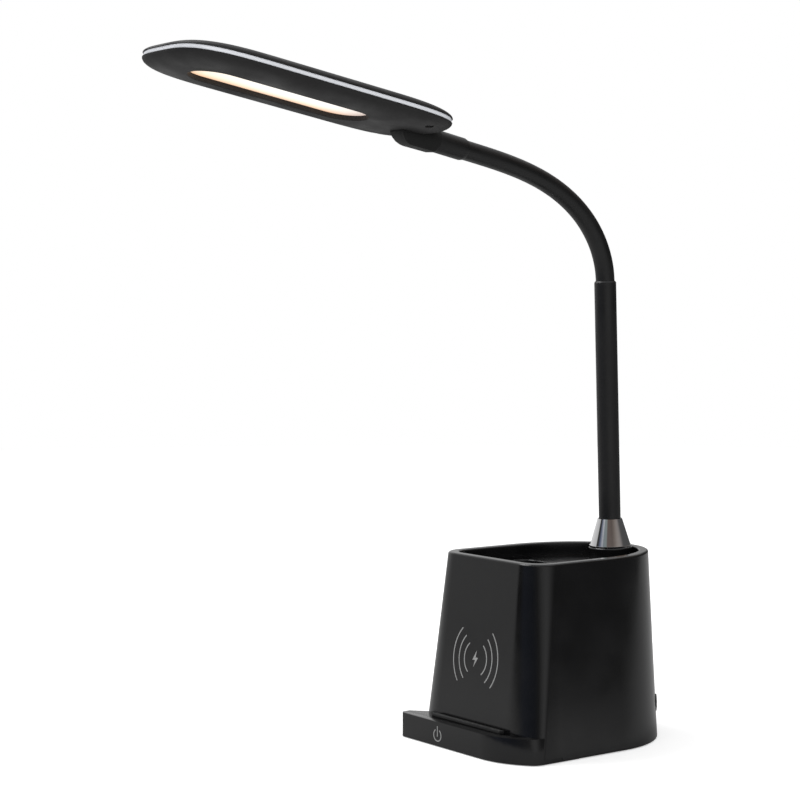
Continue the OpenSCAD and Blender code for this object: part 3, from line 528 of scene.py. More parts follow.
def pocket_point(direction, inset):
    """Where a ray from the pocket's middle meets its rounded outline, drawn in by inset."""
    hx = POCKET_HALF - inset
    hy = (POCKET_BACK - POCKET_FRONT) / 2 - inset
    r = max(POCKET_R - inset, 0.5)

    def outside(t):
        cx = max(abs(direction.x * t) - (hx - r), 0)
        cy = max(abs(direction.y * t) - (hy - r), 0)
        return sqrt(cx * cx + cy * cy) > r

    t = reach(outside)
    return (pocket_mid.x + direction.x * t, pocket_mid.y + direction.y * t)


INSERT_SLIP = 0.3    # how much the insert's edge stays inside the rim's skirt
rim_points = pot_outline(RIM_Z, RIM_BAND - SKIRT + INSERT_SLIP)
rays = [(Vector(p) - pocket_mid).normalized() for p in rim_points]


def pocket_ring(inset, z):
    """The pocket's outline, drawn in by inset, with one point for each ray."""
    return ring([pocket_point(ray, inset) for ray in rays], z)


MOUTH_R, FLOOR_R = 0.8, 4.0
insert_rings = [ring(rim_points, SHELF_Z), pocket_ring(-MOUTH_R - GUARD, SHELF_Z)]
for i in range(5):
    t = radians(22.5 * i)
    insert_rings.append(pocket_ring(-MOUTH_R * (1 - sin(t)), SHELF_Z - MOUTH_R * (1 - cos(t))))
for i in range(6):
    t = radians(18 * i)
    insert_rings.append(pocket_ring(FLOOR_R * (1 - cos(t)), POCKET_FLOOR + FLOOR_R * (1 - sin(t))))
verts, faces = loft(insert_rings, caps=False)
faces.append(tuple(range(len(verts) - len(rays), len(verts))))
pen_pocket = mesh_piece("pen_pocket", [(verts, faces)])
wall_made = pen_pocket.modifiers.new("thickness", "SOLIDIFY")
wall_made.thickness = POCKET_T * MM
wall_made.offset = -1.0 if pen_pocket.data.polygons[0].normal.z > 0 else 1.0
applied(pen_pocket)

# %% Screw legs under the pocket
LEG_D, LEG_HOLE_R = 8.0, 1.6
LEG_SIDE, LEG_FRONT, LEG_BACK = 4.0, 7.0, 3.0      # how far the legs stay inside the pocket
leg_x = POCKET_HALF - POCKET_T - LEG_D / 2 - LEG_SIDE
leg_ys = (POCKET_FRONT + LEG_D / 2 + LEG_FRONT, POCKET_BACK - LEG_D / 2 - LEG_BACK)
leg_spots = [(x, y) for x in (-leg_x, leg_x) for y in leg_ys]
leg_parts = []
for x, y in leg_spots:
    spot = Matrix.Translation((x, y, 0))
    tube = [(PLATE_T, LEG_D / 2), (POCKET_FLOOR - POCKET_T, LEG_D / 2),
            (POCKET_FLOOR - POCKET_T, LEG_HOLE_R), (PLATE_T, LEG_HOLE_R)]
    leg_parts.append(loft([[spot @ p for p in ring(circle(r, 32), z)] for z, r in tube], loop=True))
legs = mesh_piece("insert_legs", leg_parts)
settle(legs, "base", "gloss_black", inside_black)
settle(pen_pocket, "base", "gloss_black", inside_black, "pen_insert")

# %% [markdown]
# # Printed marks
# Two small pictograms are printed in grey: arcs round a bolt on the phone face, which show where to
# charge, and the usual power mark on the ledge. Each line is a very thin raised band, made by one
# function from its path, because real print has a little thickness too.

# %% Helper for printed lines
INK = 0.06


def inked(name, paths, width, place):
    """Flat bands of the given width along paths in a plane, with round ends."""
    parts = []
    for path in paths:
        points = [Vector(p) for p in path]
        sides = []
        for i, p in enumerate(points):
            along = (points[min(i + 1, len(points) - 1)] - points[max(i - 1, 0)]).normalized()
            across = Vector((-along.y, along.x)) * width / 2
            sides.append((p + across, p - across))
        first = (points[0] - points[1]).normalized() * width / 2
        last = (points[-1] - points[-2]).normalized() * width / 2
        round_end = [Matrix.Rotation(radians(90 - 30 * i), 2) for i in range(1, 6)]
        outline = [a for a, b in sides] + [points[-1] + turn @ last for turn in round_end]
        outline += [b for a, b in reversed(sides)]
        outline += [points[0] + turn @ first for turn in round_end]
        parts.append(loft([ring([(q.x, q.y) for q in outline], z) for z in (-INK, INK)]))
    return mesh_piece(name, parts, place)


# %% Charging mark on the phone face
face_tilt = atan((FACE_FOOT - FACE_RIM) / RIM_Z)
MARK_UP, MARK_X = 52.4, -1.2
face_place = (Matrix.Translation((MARK_X, -mix(FACE_FOOT, FACE_RIM, MARK_UP / RIM_Z), MARK_UP))
              @ Matrix.Rotation(radians(90) - face_tilt, 4, "X"))
WAVES = [(10.9, 0.5, 50), (17.7, 2.3, 45), (24.1, 3.4, 43.5)]   # radius, step back, half angle
MARK_LINE = 0.75
waves = []
for radius, back, half in WAVES:
    for side, middle in ((0, -back), (180, back)):
        waves.append(arc((middle, 0), radius, radius, side - half, side + half, 28))
charge_waves = inked("charge_waves", waves, MARK_LINE, face_place)
settle(charge_waves, "base", "gloss_black", mark_grey)
BOLT = [(0.8, 5.1), (-2.7, -0.8), (-0.3, -0.8), (-1.5, -5.1), (2.4, 0.8), (0.1, 0.8)]
charge_bolt = mesh_piece("charge_bolt", [loft([ring(BOLT, z) for z in (-INK, INK)])], face_place)
settle(charge_bolt, "base", "gloss_black", mark_grey)

# %% Power mark on the ledge
POWER_X, POWER_Z, POWER_R, POWER_LINE = -15.0, 6.6, 3.5, 0.7
power_place = (Matrix.Translation((POWER_X, -LEDGE_FRONT, POWER_Z))
               @ Matrix.Rotation(radians(90), 4, "X"))
power_lines = [arc((0, 0), POWER_R, POWER_R, 125, 415, 40),
               [(0, -0.6), (0, 2.5), (0, POWER_R + 1.6)]]
power_mark = inked("power_mark", power_lines, POWER_LINE, power_place)
settle(power_mark, "base", "gloss_black", mark_grey)

# %% [markdown]
# # The gooseneck
# A wound steel core lies in a smooth black sleeve. In the frame it is a chain of ten links, and the
# sleeve is cut into one stretch for each link. A Geometry Nodes tree sweeps a circle along each
# stretch. Both ends are domes centred on the joints, so the neck stays closed however far the
# links turn, and at rest the domes lie hidden inside the next stretch.

# %% Path of the gooseneck
NECK_L, NECK_BEND, NECK_EASE, LINKS, NECK_D = 145.4, 77.2, 2.28, 10, 11.6


def heading(k):
    """Degrees from straight up at k links along the neck."""
    return POST_LEAN + NECK_BEND * (1 - (1 - k / LINKS) ** NECK_EASE)


neck_start = Vector((0, POST_Y - POST_L * sin(radians(POST_LEAN)),
                     RIM_Z + POST_L * cos(radians(POST_LEAN))))
PATH_STEPS = 16                      # points on each link's arc
neck_path = [neck_start]
for link in range(LINKS):
    turn = heading(link + 1) - heading(link)
    for i in range(PATH_STEPS):
        lean = radians(heading(link) + turn * (i + 0.5) / PATH_STEPS)
        step = NECK_L / LINKS / PATH_STEPS
        neck_path.append(neck_path[-1] + Vector((0, -sin(lean), cos(lean))) * step)
for joint in frame["joints"]:
    place = Vector(joint["pos_m"]) / MM
    off = min((place - p).length for p in neck_path)
    print(joint["name"], "off the path by", round(off, 3), "mm")

# %% Geometry Nodes tree for the sleeve
def geometry_tree(name, inputs):
    """An empty geometry tree with the given inputs (name: kind), and its inputs' identifiers."""
    tree = bpy.data.node_groups.new(name, "GeometryNodeTree")
    sockets = {}
    for title, kind in inputs.items():
        socket = tree.interface.new_socket(title, in_out="INPUT", socket_type="NodeSocket" + kind)
        sockets[title] = socket.identifier
    tree.interface.new_socket("Geometry", in_out="OUTPUT", socket_type="NodeSocketGeometry")
    return tree, sockets


def chain(tree, *stations):
    """Links each node's first output to the next node's first input."""
    for a, b in zip(stations, stations[1:]):
        tree.links.new(a.outputs[0], b.inputs[0])


def applied_tree(name, points, edges, tree, sockets, values):
    """A mesh of points (in millimetres) and edges, changed by a geometry tree into plain mesh."""
    mesh = bpy.data.meshes.new(name)
    mesh.from_pydata([p * MM for p in points], edges, [])
    for title, shares in values.pop("attributes", {}).items():
        mesh.attributes.new(title, "FLOAT", "POINT").data.foreach_set("value", shares)
    piece = bpy.data.objects.new(name, mesh)
    bpy.context.scene.collection.objects.link(piece)
    change = piece.modifiers.new("tree", "NODES")
    change.node_group = tree
    for title, value in values.items():
        change[sockets[title]] = value
    return applied(piece)


sleeve_tree, sleeve_sockets = geometry_tree(
    "swept_sleeve", {"Path": "Geometry", "Radius": "Float", "Sides": "Int", "Finish": "Material"})
tree_in, tree_out = [add(sleeve_tree, f"NodeGroup{way}") for way in ("Input", "Output")]
share = add(sleeve_tree, "GeometryNodeInputNamedAttribute", data_type="FLOAT", Name="girth")
profile = add(sleeve_tree, "GeometryNodeCurvePrimitiveCircle")
sweep = add(sleeve_tree, "GeometryNodeCurveToMesh", Fill_Caps=True)
paint = add(sleeve_tree, "GeometryNodeSetMaterial")
chain(sleeve_tree, tree_in, add(sleeve_tree, "GeometryNodeMeshToCurve"), sweep,
      add(sleeve_tree, "GeometryNodeSetShadeSmooth"),
      add(sleeve_tree, "GeometryNodeRealizeInstances"), paint, tree_out)
feed(sleeve_tree, [profile.inputs["Radius"], profile.inputs["Resolution"],
                   sweep.inputs["Profile Curve"], sweep.inputs["Scale"], paint.inputs["Material"]],
     [tree_in.outputs["Radius"], tree_in.outputs["Sides"], profile.outputs[0],
      share.outputs["Attribute"], tree_in.outputs["Finish"]])

DOME_STEPS, DOME_TURN = 7, radians(88)


def domed(path, radius):
    """Path lengthened by a half-ball at both ends, and the share of the radius at each point."""
    front, back = (path[0] - path[1]).normalized(), (path[-1] - path[-2]).normalized()
    turns = [DOME_TURN * (i + 1) / DOME_STEPS for i in range(DOME_STEPS)]
    points = ([path[0] + front * radius * sin(t) for t in reversed(turns)] + path
              + [path[-1] + back * radius * sin(t) for t in turns])
    girths = [cos(t) for t in reversed(turns)] + [1.0] * len(path) + [cos(t) for t in turns]
    return points, girths


# %% One stretch of sleeve for each link
for k in range(1, LINKS + 1):
    stretch = neck_path[(k - 1) * PATH_STEPS:k * PATH_STEPS + 1]
    path, girths = domed(stretch, NECK_D / 2)
    sleeve = applied_tree(
        f"neck_sleeve_{k}", path, [(i, i + 1) for i in range(len(path) - 1)], sleeve_tree,
        sleeve_sockets, {"Radius": NECK_D / 2 * MM, "Sides": 48, "Finish": satin_sleeve,
                         "attributes": {"girth": girths}})
    stands = [f"neck_link_{k}"] + (["neck_root"] if k == 1 else [])
    settle(sleeve, f"neck_{k}" if k < LINKS else "head", "satin_black", satin_sleeve, *stands)
print("stretches of sleeve:", LINKS)

# %% [markdown]
# # The head
# Two thin shells hold a silver band between them. In plan they share one outline: straight sides
# with squarish round ends. Towards the flat underside the outline shrinks along a quarter of an
# ellipse, which gives the soft bowl of the lower shell, and the same rule makes the top cover.

# %% Place and outline of the head
COLLAR_L, COLLAR_D = 22.0, 13.2
HEAD_L, HEAD_W, HEAD_END, HEAD_SQUARE = 180.6, 74.8, 60.5, 3.7
LOWER_H, LOWER_IN, BAND_H, BAND_IN, BAND_W = 6.1, 15.3, 2.4, 0.5, 3.0
TOP_H, TOP_IN, TOP_END_IN, SHELL_T = 4.6, 10.0, 22.0, 1.6
WINDOW_L, WINDOW_W, WINDOW_OFF = 112.8, 32.0, 13.2
HEAD_REACH, HEAD_RISE, HEAD_TILT = 94.0, 6.1, 1.2
end_heading = (heading(LINKS - 1) + heading(LINKS)) / 2
end_place = Matrix.Translation(neck_path[-1]) @ Matrix.Rotation(radians(end_heading), 4, "X")
head_place = (end_place @ Matrix.Translation((0, 0, COLLAR_L))
              @ Matrix.Rotation(radians(HEAD_TILT - 90), 4, "X")
              @ Matrix.Translation((0, -HEAD_REACH, HEAD_RISE)))
HEAD_STEPS = 160


def squarish(v):
    """A sine or cosine bent so that a circle turns into a rounded square."""
    return (1 if v >= 0 else -1) * abs(v) ** (2 / HEAD_SQUARE)


def head_outline(side, tip):
    """The head's outline, drawn in by side at its sides and by tip at its ends."""
    straight = HEAD_L / 2 - HEAD_END
    points = []
    for i in range(HEAD_STEPS):
        t = 2 * pi * (i + 0.5) / HEAD_STEPS
        y = (HEAD_END - tip) * squarish(sin(t)) + (straight if sin(t) > 0 else -straight)
        points.append(((HEAD_W / 2 - side) * squarish(cos(t)), y))
    return points


def window_outline(grow):
    """The window's outline, with as many points as the head's, met by rays from its middle."""
    r = WINDOW_W / 2 + grow
    straight = (WINDOW_L - WINDOW_W) / 2
    points = []
    for x, y in head_outline(0, 0):
        ray = Vector((x, y + WINDOW_OFF)).normalized()
        t = reach(lambda t: sqrt((ray.x * t) ** 2 + max(abs(ray.y * t) - straight, 0) ** 2) > r)
        points.append((ray.x * t, ray.y * t - WINDOW_OFF))
    return points


# %% Lower shell
bowl_turns = [radians(90 * i / 14) for i in range(15)]


def bowl_ring(t, start, side, tip, z):
    """The head's outline at height z, drawn in from start to side and tip as t turns to 90."""
    share = 1 - cos(t)
    return ring(head_outline(start + (side - start) * share, start + (tip - start) * share), z)


bowl_rings = [bowl_ring(t, 0, LOWER_IN, LOWER_IN, -LOWER_H * sin(t)) for t in bowl_turns]
shell_rings = list(bowl_rings)
LIP_R = 0.5
for i in range(5):
    t = radians(22.5 * i)
    shell_rings.append(ring(window_outline(LIP_R * (1 - sin(t))), -LOWER_H + LIP_R * (1 - cos(t))))
WELL = 2.9                           # depth of the window's well, whose wall holds the opal pane
WELL_WALL = 2.0
shell_rings.append(ring(window_outline(0), -LOWER_H + WELL))
shell_rings.append(ring(window_outline(WELL_WALL), -LOWER_H + WELL))
shell_rings.append(ring(window_outline(WELL_WALL), -LOWER_H + SHELL_T))
shell_rings += [bowl_ring(t, SHELL_T, LOWER_IN, LOWER_IN, -(LOWER_H - SHELL_T) * sin(t))
                for t in reversed(bowl_turns)]
head_lower = mesh_piece("head_lower", [loft(shell_rings, loop=True)], head_place)
SCREW_X, SCREW_Y, SCREW_HOLE, SCREW_SEAT = 26.0, HEAD_L / 2 - 20.3, 5.0, -LOWER_H + 2.9
SCREW_REACH = 9.0    # how far below the head the cutters start
head_spots = [(-SCREW_X, SCREW_Y, SCREW_SEAT), (SCREW_X, SCREW_Y, SCREW_SEAT)]
for x, y, seat in head_spots:
    hole = loft([ring(circle(SCREW_HOLE / 2, 48), z) for z in (-SCREW_REACH, seat)])
    cut(head_lower, mesh_piece("cutter", [hole], head_place @ Matrix.Translation((x, y, 0))))
settle(head_lower, "head", "matt_black", matt_shell, "head_lower_shell")

# %% Silver band
BAND_EDGE, BAND_CORNER = 0.4, 0.12
band_profile = [(0, BAND_EDGE), (BAND_CORNER, BAND_CORNER), (BAND_EDGE, 0),
                (BAND_H - BAND_EDGE, 0), (BAND_H - BAND_CORNER, BAND_CORNER),
                (BAND_H, BAND_EDGE), (BAND_H, BAND_W), (0, BAND_W)]
band_rings = [ring(head_outline(BAND_IN + inset, BAND_IN + inset), z) for z, inset in band_profile]
head_band = mesh_piece("head_band", [loft(band_rings, loop=True)], head_place)
settle(head_band, "head", "silver_trim", silver_band, "trim_band")

# %% Top cover
cover_rings = [bowl_ring(t, 0, TOP_IN, TOP_END_IN, BAND_H + TOP_H * sin(t)) for t in bowl_turns]
under_rings = [bowl_ring(t, SHELL_T, TOP_IN, TOP_END_IN, BAND_H + (TOP_H - SHELL_T) * sin(t))
               for t in reversed(bowl_turns)]
head_top = mesh_piece("head_top", [loft(under_rings + cover_rings)], head_place)
settle(head_top, "head", "matt_black", matt_shell, "head_top_cover")

# %% [markdown]
# # The lit window
# The opal window glows warm white. Its LEDs sit in two rows behind it, so it is brightest along the
# middle and turns amber towards its edge. The glow is an emission colour that changes over the
# surface, with a plain strength. One ramp is read across the window (X), the other along it (Y).

# %% Pane of the window
PANE_T, PANE_SLIP, PANE_INNER = 1.2, 0.02, -6.0
STACK_Z = -LOWER_H + WELL
pane_low, pane_top = STACK_Z + PANE_SLIP, STACK_Z + PANE_T
pane_profile = [(PANE_INNER, pane_top), (WELL_WALL, pane_top), (WELL_WALL, pane_low),
                (0, pane_low), (PANE_INNER, pane_low)]
pane = [ring(window_outline(inset), z) for inset, z in pane_profile]
window_pane = mesh_piece("window_pane", [loft(pane)], head_place)

# %% Glow of the window
window_glow, glow_tree, glow_shader = new_material(
    "window_glow", Base_Color=(0.35, 0.3, 0.25, 1.0), Roughness=0.35, Emission_Strength=1.0)
glow_place = add(glow_tree, "ShaderNodeTexCoord")
glow_split = add(glow_tree, "ShaderNodeSeparateXYZ")
glow_tree.links.new(glow_place.outputs["Object"], glow_split.inputs[0])
tip_y, root_y = [(head_place @ Vector((0, half - WINDOW_OFF, STACK_Z))).y
                 for half in (-WINDOW_L / 2, WINDOW_L / 2)]


def ramp_of(tree, share, stops):
    """The colour at a share of a ramp with the given stops: (place, colour)."""
    node = add(tree, "ShaderNodeValToRGB")
    tree.links.new(share, node.inputs["Fac"])
    while len(node.color_ramp.elements) < len(stops):
        node.color_ramp.elements.new(0.5)
    for element, (stop, colour) in zip(node.color_ramp.elements, stops):
        element.position = stop
        element.color = (*colour, 1.0)
    return node.outputs["Color"]


window_x = ranged(glow_tree, glow_split.outputs["X"], -WINDOW_W / 2 * MM, WINDOW_W / 2 * MM)
window_y = ranged(glow_tree, glow_split.outputs["Y"], tip_y * MM, root_y * MM)
across = ramp_of(glow_tree, window_x, [
    (0.0, (0.84, 0.56, 0.38)), (0.14, (1.0, 0.80, 0.64)), (0.34, (1.0, 0.95, 0.89)),
    (0.68, (1.0, 1.0, 0.97)), (1.0, (1.0, 0.88, 0.74))])
along = ramp_of(glow_tree, window_y, [
    (0.0, (0.80, 0.64, 0.48)), (0.12, (1.0, 0.90, 0.78)), (0.5, (1.0, 1.0, 1.0)),
    (0.78, (1.0, 0.97, 0.95)), (0.92, (0.84, 0.76, 0.74)), (1.0, (0.56, 0.46, 0.44))])
glow_tree.links.new(mixed(glow_tree, 1.0, across, along, "MULTIPLY"),
                    glow_shader.inputs["Emission Color"])
settle(window_pane, "head", "light_window", window_glow, "diffuser")

# %% [markdown]
# # The shoe and the end collar
# The gooseneck ends in a plain collar, and a wedge-shaped shoe joins it to the head's underside.
# The shoe is the hull of the collar's circle, a block under the head and a rounded nose. A bevel
# softens it, and the lower shell's bowl is cut out of it, so that it sits against the shell.

# %% End collar
COLLAR_EDGE, COLLAR_CORNER, COLLAR_SLOPE, COLLAR_SLIP = 0.6, 0.2, 2.2, 0.02
bore, collar_r = NECK_D / 2 + COLLAR_SLIP, COLLAR_D / 2
collar_profile = [(0, bore), (0, collar_r - COLLAR_EDGE - COLLAR_CORNER),
                  (0.15, collar_r - COLLAR_EDGE), (COLLAR_SLOPE, collar_r),
                  (COLLAR_SLOPE + GUARD, collar_r), (COLLAR_L, collar_r), (COLLAR_L, bore)]
collar_rings = [ring(circle(r), z) for z, r in collar_profile]
neck_collar = mesh_piece("neck_collar", [loft(collar_rings, loop=True)], end_place)
settle(neck_collar, "head", "satin_black", satin_sleeve, "end_collar")

# %% The shoe's solid form
SHOE_W, SHOE_FLAT, SHOE_SLOPE, SHOE_STEP, SHOE_EDGE = 12.0, 19.0, 8.4, 0.4, 1.3
SHOE_TOP = (-7.1, -4.1)              # heights of the block's upper part, inside the lower shell
SHOE_NOSE = [(5.6, 68.1, -9.4), (4.9, 70.4, -11.5), (4.3, 72.8, -12.6)]
shoe_low = -HEAD_RISE - collar_r - SHOE_STEP
collar_face = (Matrix.Translation((0, HEAD_REACH, -HEAD_RISE))
               @ Matrix.Rotation(radians(90 - HEAD_TILT), 4, "X"))
shoe_points = [collar_face @ p for z in (-0.3, 2)
               for p in ring(circle((COLLAR_D + SHOE_STEP) / 2), z)]
upper_block = (SHOE_W / 2, (HEAD_REACH - SHOE_FLAT - SHOE_SLOPE, HEAD_REACH - 8), SHOE_TOP)
lower_block = (SHOE_W / 3, (HEAD_REACH - SHOE_FLAT, HEAD_REACH - 2), (shoe_low, shoe_low + 1))
for half, ys, zs in (upper_block, lower_block):
    shoe_points += [Vector((x, y, z)) for x in (-half, half) for y in ys for z in zs]
shoe_points += [Vector((side * x, y, z)) for x, y, z in SHOE_NOSE for side in (-1, 1)]
shoe_mesh = bmesh.new()
for p in shoe_points:
    shoe_mesh.verts.new(head_place @ p * MM)
bmesh.ops.convex_hull(shoe_mesh, input=shoe_mesh.verts)
inner = [v for v in shoe_mesh.verts if not v.link_faces]
bmesh.ops.delete(shoe_mesh, geom=inner, context="VERTS")
shoe = shown("shoe", shoe_mesh)

# %% Soft edges for the shoe, and the bowl cut out of it
bevelled(shoe, SHOE_EDGE, 5)
solid_rings = bowl_rings[::-1] + [ring(head_outline(0, 0), BAND_H + 2)]
cut(shoe, mesh_piece("cutter", [loft(solid_rings)], head_place))
settle(shoe, "head", "matt_black", shoe_black, "head_socket")

# %% [markdown]
# # Everything that stays as the frame gives it
# Turned and flat pieces are already exact in the frame, so they only get a finish.

# %% Finishes for the frame's own pieces
CAD_FINISH = [
    (gloss_black, "pot_shell"), (soft_rubber, "rubber_feet phone_rest_strip"),
    (inside_black, "pen_insert power_inlet"), (polished_chrome, "cone_collar"),
    (satin_sleeve, "post_tube neck_root end_collar"), (cast_weight, "ballast_weight"),
    (satin_sleeve, " ".join(f"neck_link_{k}" for k in range(1, LINKS + 1))),
    (matt_shell, "bottom_plate coil_carrier head_socket head_lower_shell head_top_cover"),
    (zinc_steel, "bottom_screws ballast_screws board_screws head_screws socket_screws"),
    (zinc_steel, "post_stud column_washer column_nut"), (board_green, "control_board"),
    (copper_wire, "charging_coil touch_pad"), (dull_ferrite, "ferrite_sheet"),
    (silver_band, "trim_band"), (window_glow, "diffuser"), (white_plastic, "reflector"),
    (led_white, "led_board"),
]
for material, names in CAD_FINISH:
    for name in names.split():
        nodes[name].data.materials.clear()
        nodes[name].data.materials.append(material)
print("frame pieces with a finish:", len(nodes))

# %% [markdown]
# # Screws and feet
# Screws and feet are one model set out several times. A Geometry Nodes tree puts a copy of the
# model on each point of a small mesh, turns all copies alike, realizes them and gives them their
# finish. Each screw has a cross recess, cut before it is set out.

# %% Geometry Nodes tree that sets out copies
copies_tree, copies_sockets = geometry_tree(
    "set_out_copies", {"Points": "Geometry", "Model": "Object", "Turn": "Vector",
                       "Finish": "Material"})
copies_in, copies_out = [add(copies_tree, f"NodeGroup{way}") for way in ("Input", "Output")]
model_info = add(copies_tree, "GeometryNodeObjectInfo")
instances = add(copies_tree, "GeometryNodeInstanceOnPoints")
coated = add(copies_tree, "GeometryNodeSetMaterial")
chain(copies_tree, copies_in, add(copies_tree, "GeometryNodeMeshToPoints"), instances,
      add(copies_tree, "GeometryNodeRealizeInstances"), coated, copies_out)
feed(copies_tree, [model_info.inputs[0], instances.inputs["Instance"],
                   instances.inputs["Rotation"], coated.inputs["Material"]],
     [copies_in.outputs["Model"], model_info.outputs["Geometry"],
      copies_in.outputs["Turn"], copies_in.outputs["Finish"]])


def set_out(name, model, spots, place, material):
    """Copies of the model on the spots of a place, made by the tree and turned into plain mesh."""
    points = [place @ Vector(spot) for spot in spots]
    piece = applied_tree(name, points, [], copies_tree, copies_sockets, {
        "Model": model, "Turn": tuple(place.to_euler()), "Finish": material})
    bpy.data.objects.remove(model)
    return piece


# %% Model of a cross-head screw
def cross_outline(reach, half):
    """A plus sign, counter-clockwise."""
    return [(half, half), (half, reach), (-half, reach), (-half, half), (-reach, half),
            (-reach, -half), (-half, -half), (-half, -reach), (half, -reach), (half, -half),
            (reach, -half), (reach, half)]


THREAD_ROOT, THREAD_PITCH = 0.86, 0.35     # shares of the shank's radius and diameter


def screw_model(head_d, head_t, shank_d, shank_l):
    """A screw that stands on its head: the head lies below zero, the threaded shank above it."""
    r, s = head_d / 2, shank_d / 2
    root, pitch = s * THREAD_ROOT, shank_d * THREAD_PITCH
    profile = [(-head_t, r * 0.78), (-head_t * 0.9, r * 0.9), (-head_t * 0.6, r), (0, r), (0, root)]
    for i in range(int(shank_l / pitch) - 1):
        profile += [(pitch * (i + 0.5), s), (pitch * (i + 1), root)]
    profile.append((shank_l, s * 0.4))
    model = mesh_piece("screw_model", [loft([ring(circle(d, 32), z) for z, d in profile])])
    recess = loft([ring(cross_outline(r * 0.58, r * 0.13), -head_t - 1),
                   ring(cross_outline(r * 0.42, r * 0.10), -head_t * 0.3)])
    return cut(model, mesh_piece("cutter", [recess]))


# %% Screws that can be seen
PLATE_SCREW = (5.6, 1.4, 2.9, 12)    # head's diameter and height, shank's diameter and length
HEAD_SCREW = (4.6, 1.2, 2.5, 7)
plate_spots = [(x, y, PLATE_SCREW[1]) for x, y in leg_spots]
flat = Matrix.Identity(4)
for name, measures, spots, place, body in (
        ("bottom", PLATE_SCREW, plate_spots, flat, "base"),
        ("head", HEAD_SCREW, head_spots, head_place, "head")):
    screws = set_out(f"{name}_screw_set", screw_model(*measures), spots, place, zinc_steel)
    settle(screws, body, "zinc_steel", zinc_steel, f"{name}_screws")

# %% Rubber feet
FOOT_D, FOOT_T, FOOT_GAP = 12.0, 1.4, 0.5
foot_profile = [(0, 5.2), (0.12, 5.6), (0.45, 5.95), (0.8, FOOT_D / 2), (FOOT_T, FOOT_D / 2)]
foot_model = mesh_piece("foot_model", [loft([ring(circle(r, 48), z) for z, r in foot_profile])])
FOOT_PLACES = [(-38, -61), (38, -61), (-40, 38), (40, 38)]
foot_spots = [(x, y, -FOOT_GAP) for x, y in FOOT_PLACES]
feet = set_out("foot_set", foot_model, foot_spots, flat, soft_rubber)
settle(feet, "base", "black_rubber", soft_rubber, "rubber_feet")

# %% [markdown]
# # Floor, light and camera
# The object stands on a white floor in a white room. Black gloss shows little colour of its own, so
# what it mirrors draws its form. The glossy rays therefore see another room: grey in front of the
# phone face, dark on the right, a soft strip of light for the corner, and brighter walls higher up,
# which only the chrome cone mirrors. The diffuse rays see plain even light.

# %% Floor
FLOOR_R, FLOOR_T = 2500, 5
floor_rings = [ring(circle(FLOOR_R, 64), z) for z in (-FOOT_GAP - FLOOR_T, -FOOT_GAP)]
floor = mesh_piece("floor", [loft(floor_rings)])
WHITE = (1.0, 1.0, 1.0, 1.0)
floor_paint, floor_tree, floor_shader = new_material(
    "floor_white", Roughness=0.9, Specular_IOR_Level=0.0, Emission_Color=WHITE)
floor_sight = add(floor_tree, "ShaderNodeLightPath")
FLOOR_PALE, FLOOR_MIRRORED, FLOOR_LIFT = 0.6, 0.5, 0.42
seen_more = math_node(floor_tree, "MULTIPLY", floor_sight.outputs["Is Camera Ray"], 1 - FLOOR_PALE)
mirrored_less = math_node(floor_tree, "MULTIPLY", floor_sight.outputs["Is Glossy Ray"],
                          FLOOR_PALE - FLOOR_MIRRORED)
paleness = math_node(floor_tree, "ADD", seen_more, FLOOR_PALE)
paleness = math_node(floor_tree, "SUBTRACT", paleness, mirrored_less)
lift = math_node(floor_tree, "MULTIPLY", floor_sight.outputs["Is Camera Ray"], FLOOR_LIFT)
feed(floor_tree, [floor_shader.inputs["Base Color"], floor_shader.inputs["Emission Strength"]],
     [paleness, lift])
floor.data.materials.append(floor_paint)

# %% World
world = bpy.data.worlds.new("studio")
bpy.context.scene.world = world
world.use_nodes = True
sky = world.node_tree
sky.nodes.clear()
sky_dir = add(sky, "ShaderNodeTexCoord")
sky_parts = add(sky, "ShaderNodeSeparateXYZ")
sky.links.new(sky_dir.outputs["Generated"], sky_parts.inputs[0])
turned = math_node(sky, "ARCTAN2", sky_parts.outputs["Y"], sky_parts.outputs["X"])
turn_share = math_node(sky, "FRACT", math_node(sky, "DIVIDE", turned, 2 * pi))


def wall_ramp(stops):
    """Colours of the mirrored room by the angle round the object, counter-clockwise from +X."""
    return ramp_of(sky, turn_share, [(angle / 360, colour) for angle, colour in stops])


def grey(value):
    """A colour without a hue."""
    return (value, value, value)


low_wall = wall_ramp([
    (0, grey(0.55)), (18, grey(0.30)), (38, grey(0.075)), (112, grey(0.07)), (126, grey(0.16)),
    (150, grey(0.8)), (165, grey(0.7)), (226, grey(0.46)), (229, grey(0.03)), (240, grey(0.035)),
    (252, (0.09, 0.11, 0.17)), (286, (0.06, 0.075, 0.11)), (304, grey(0.12)), (326, grey(0.46)),
    (345, grey(0.62)), (360, grey(0.55))])
high_wall = wall_ramp([
    (0, (0.17, 0.14, 0.12)), (36, (0.20, 0.16, 0.14)), (60, (0.13, 0.10, 0.08)),
    (80, (0.30, 0.25, 0.22)), (104, (0.34, 0.31, 0.29)), (118, grey(0.75)), (160, grey(0.9)),
    (238, grey(0.55)), (256, grey(0.95)), (268, grey(0.90)), (273, (0.30, 0.34, 0.33)),
    (292, (0.22, 0.25, 0.24)), (298, (0.13, 0.10, 0.09)), (330, (0.10, 0.08, 0.07)),
    (360, (0.17, 0.14, 0.12))])
WALL_HEIGHTS, CEILING_HEIGHTS = (0.30, 0.42), (0.58, 0.78)   # where one look blends into the next
CEILING = (0.95, 0.97, 1.0, 1.0)
height_share = ranged(sky, sky_parts.outputs["Z"], *WALL_HEIGHTS, step="SMOOTHSTEP")
ceiling_share = ranged(sky, sky_parts.outputs["Z"], *CEILING_HEIGHTS, step="SMOOTHSTEP")
walls = mixed(sky, height_share, low_wall, high_wall)
room = mixed(sky, ceiling_share, walls, CEILING)
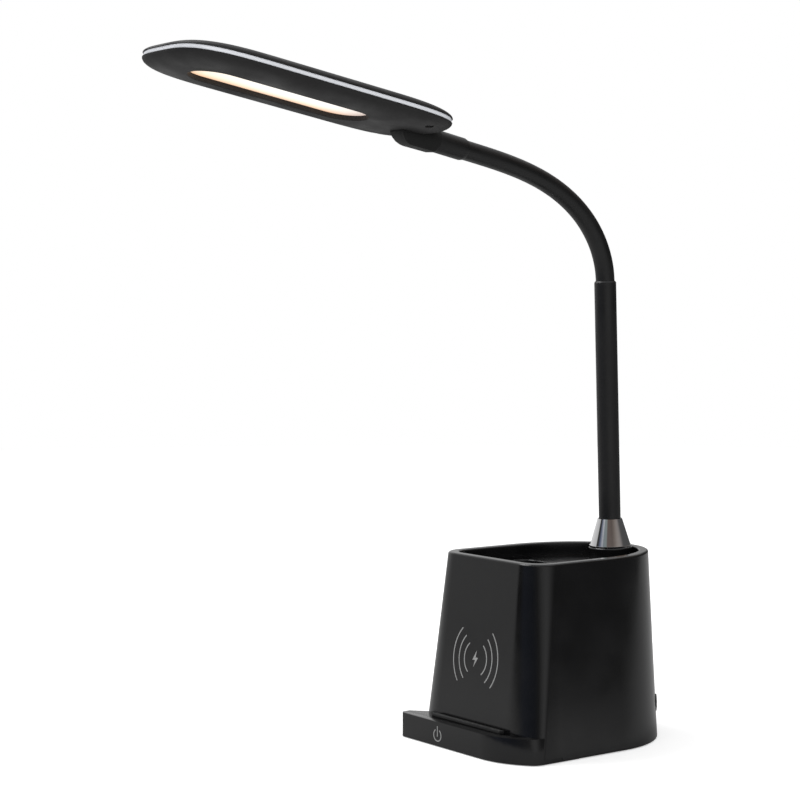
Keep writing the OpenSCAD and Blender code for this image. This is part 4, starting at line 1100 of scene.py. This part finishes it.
FILL = 0.62          # strength of the light that reaches matt surfaces
sky_sight = add(sky, "ShaderNodeLightPath")
seen = add(sky, "ShaderNodeBackground", Color=WHITE)
mirrored = add(sky, "ShaderNodeBackground")
filling = add(sky, "ShaderNodeBackground", Color=WHITE, Strength=FILL)
mirrors = math_node(sky, "MAXIMUM", sky_sight.outputs["Is Glossy Ray"],
                    sky_sight.outputs["Is Transmission Ray"])
first_mix, second_mix = [add(sky, "ShaderNodeMixShader") for _ in range(2)]
sky_out = add(sky, "ShaderNodeOutputWorld")
feed(sky, first_mix.inputs, (mirrors, filling.outputs[0], mirrored.outputs[0]))
feed(sky, second_mix.inputs,
     (sky_sight.outputs["Is Camera Ray"], first_mix.outputs[0], seen.outputs[0]))
feed(sky, [mirrored.inputs["Color"], sky_out.inputs["Surface"]], [room, second_mix.outputs[0]])


# %% Lights
def softbox(name, spot, aim, width, height, watts):
    """A rectangular light at spot that looks at aim, in metres."""
    data = bpy.data.lights.new(name, "AREA")
    data.shape = "RECTANGLE"
    data.size, data.size_y = width, height
    data.energy = watts
    lamp = bpy.data.objects.new(name, data)
    gaze = (Vector(aim) - Vector(spot)).to_track_quat("-Z", "Y")
    lamp.matrix_world = Matrix.Translation(spot) @ gaze.to_matrix().to_4x4()
    bpy.context.scene.collection.objects.link(lamp)
    return lamp


softbox("key", (-0.7, -0.5, 1.5), (0, 0, 0.15), 0.9, 0.9, 13.0)
side_fill = softbox("side_fill", (1.3, -0.7, 0.6), (0, 0, 0.25), 1.2, 1.2, 7.0)
side_fill.visible_glossy = False     # the mirrored room already shows a light here

# %% Camera
CAMERA_SPOT = Vector((906.33, -782.23, 261.0)) * MM
CAMERA_TURN, CAMERA_PITCH = 53.5, -2.72
LENS, SENSOR = 88.97, 36.0
view = bpy.data.cameras.new("view")
view.lens, view.sensor_width = LENS, SENSOR
camera = bpy.data.objects.new("view", view)
camera.location = CAMERA_SPOT
camera.rotation_euler = (radians(90 + CAMERA_PITCH), 0, radians(CAMERA_TURN))
bpy.context.scene.collection.objects.link(camera)
bpy.context.scene.camera = camera
bpy.context.scene.view_settings.view_transform = "Standard"
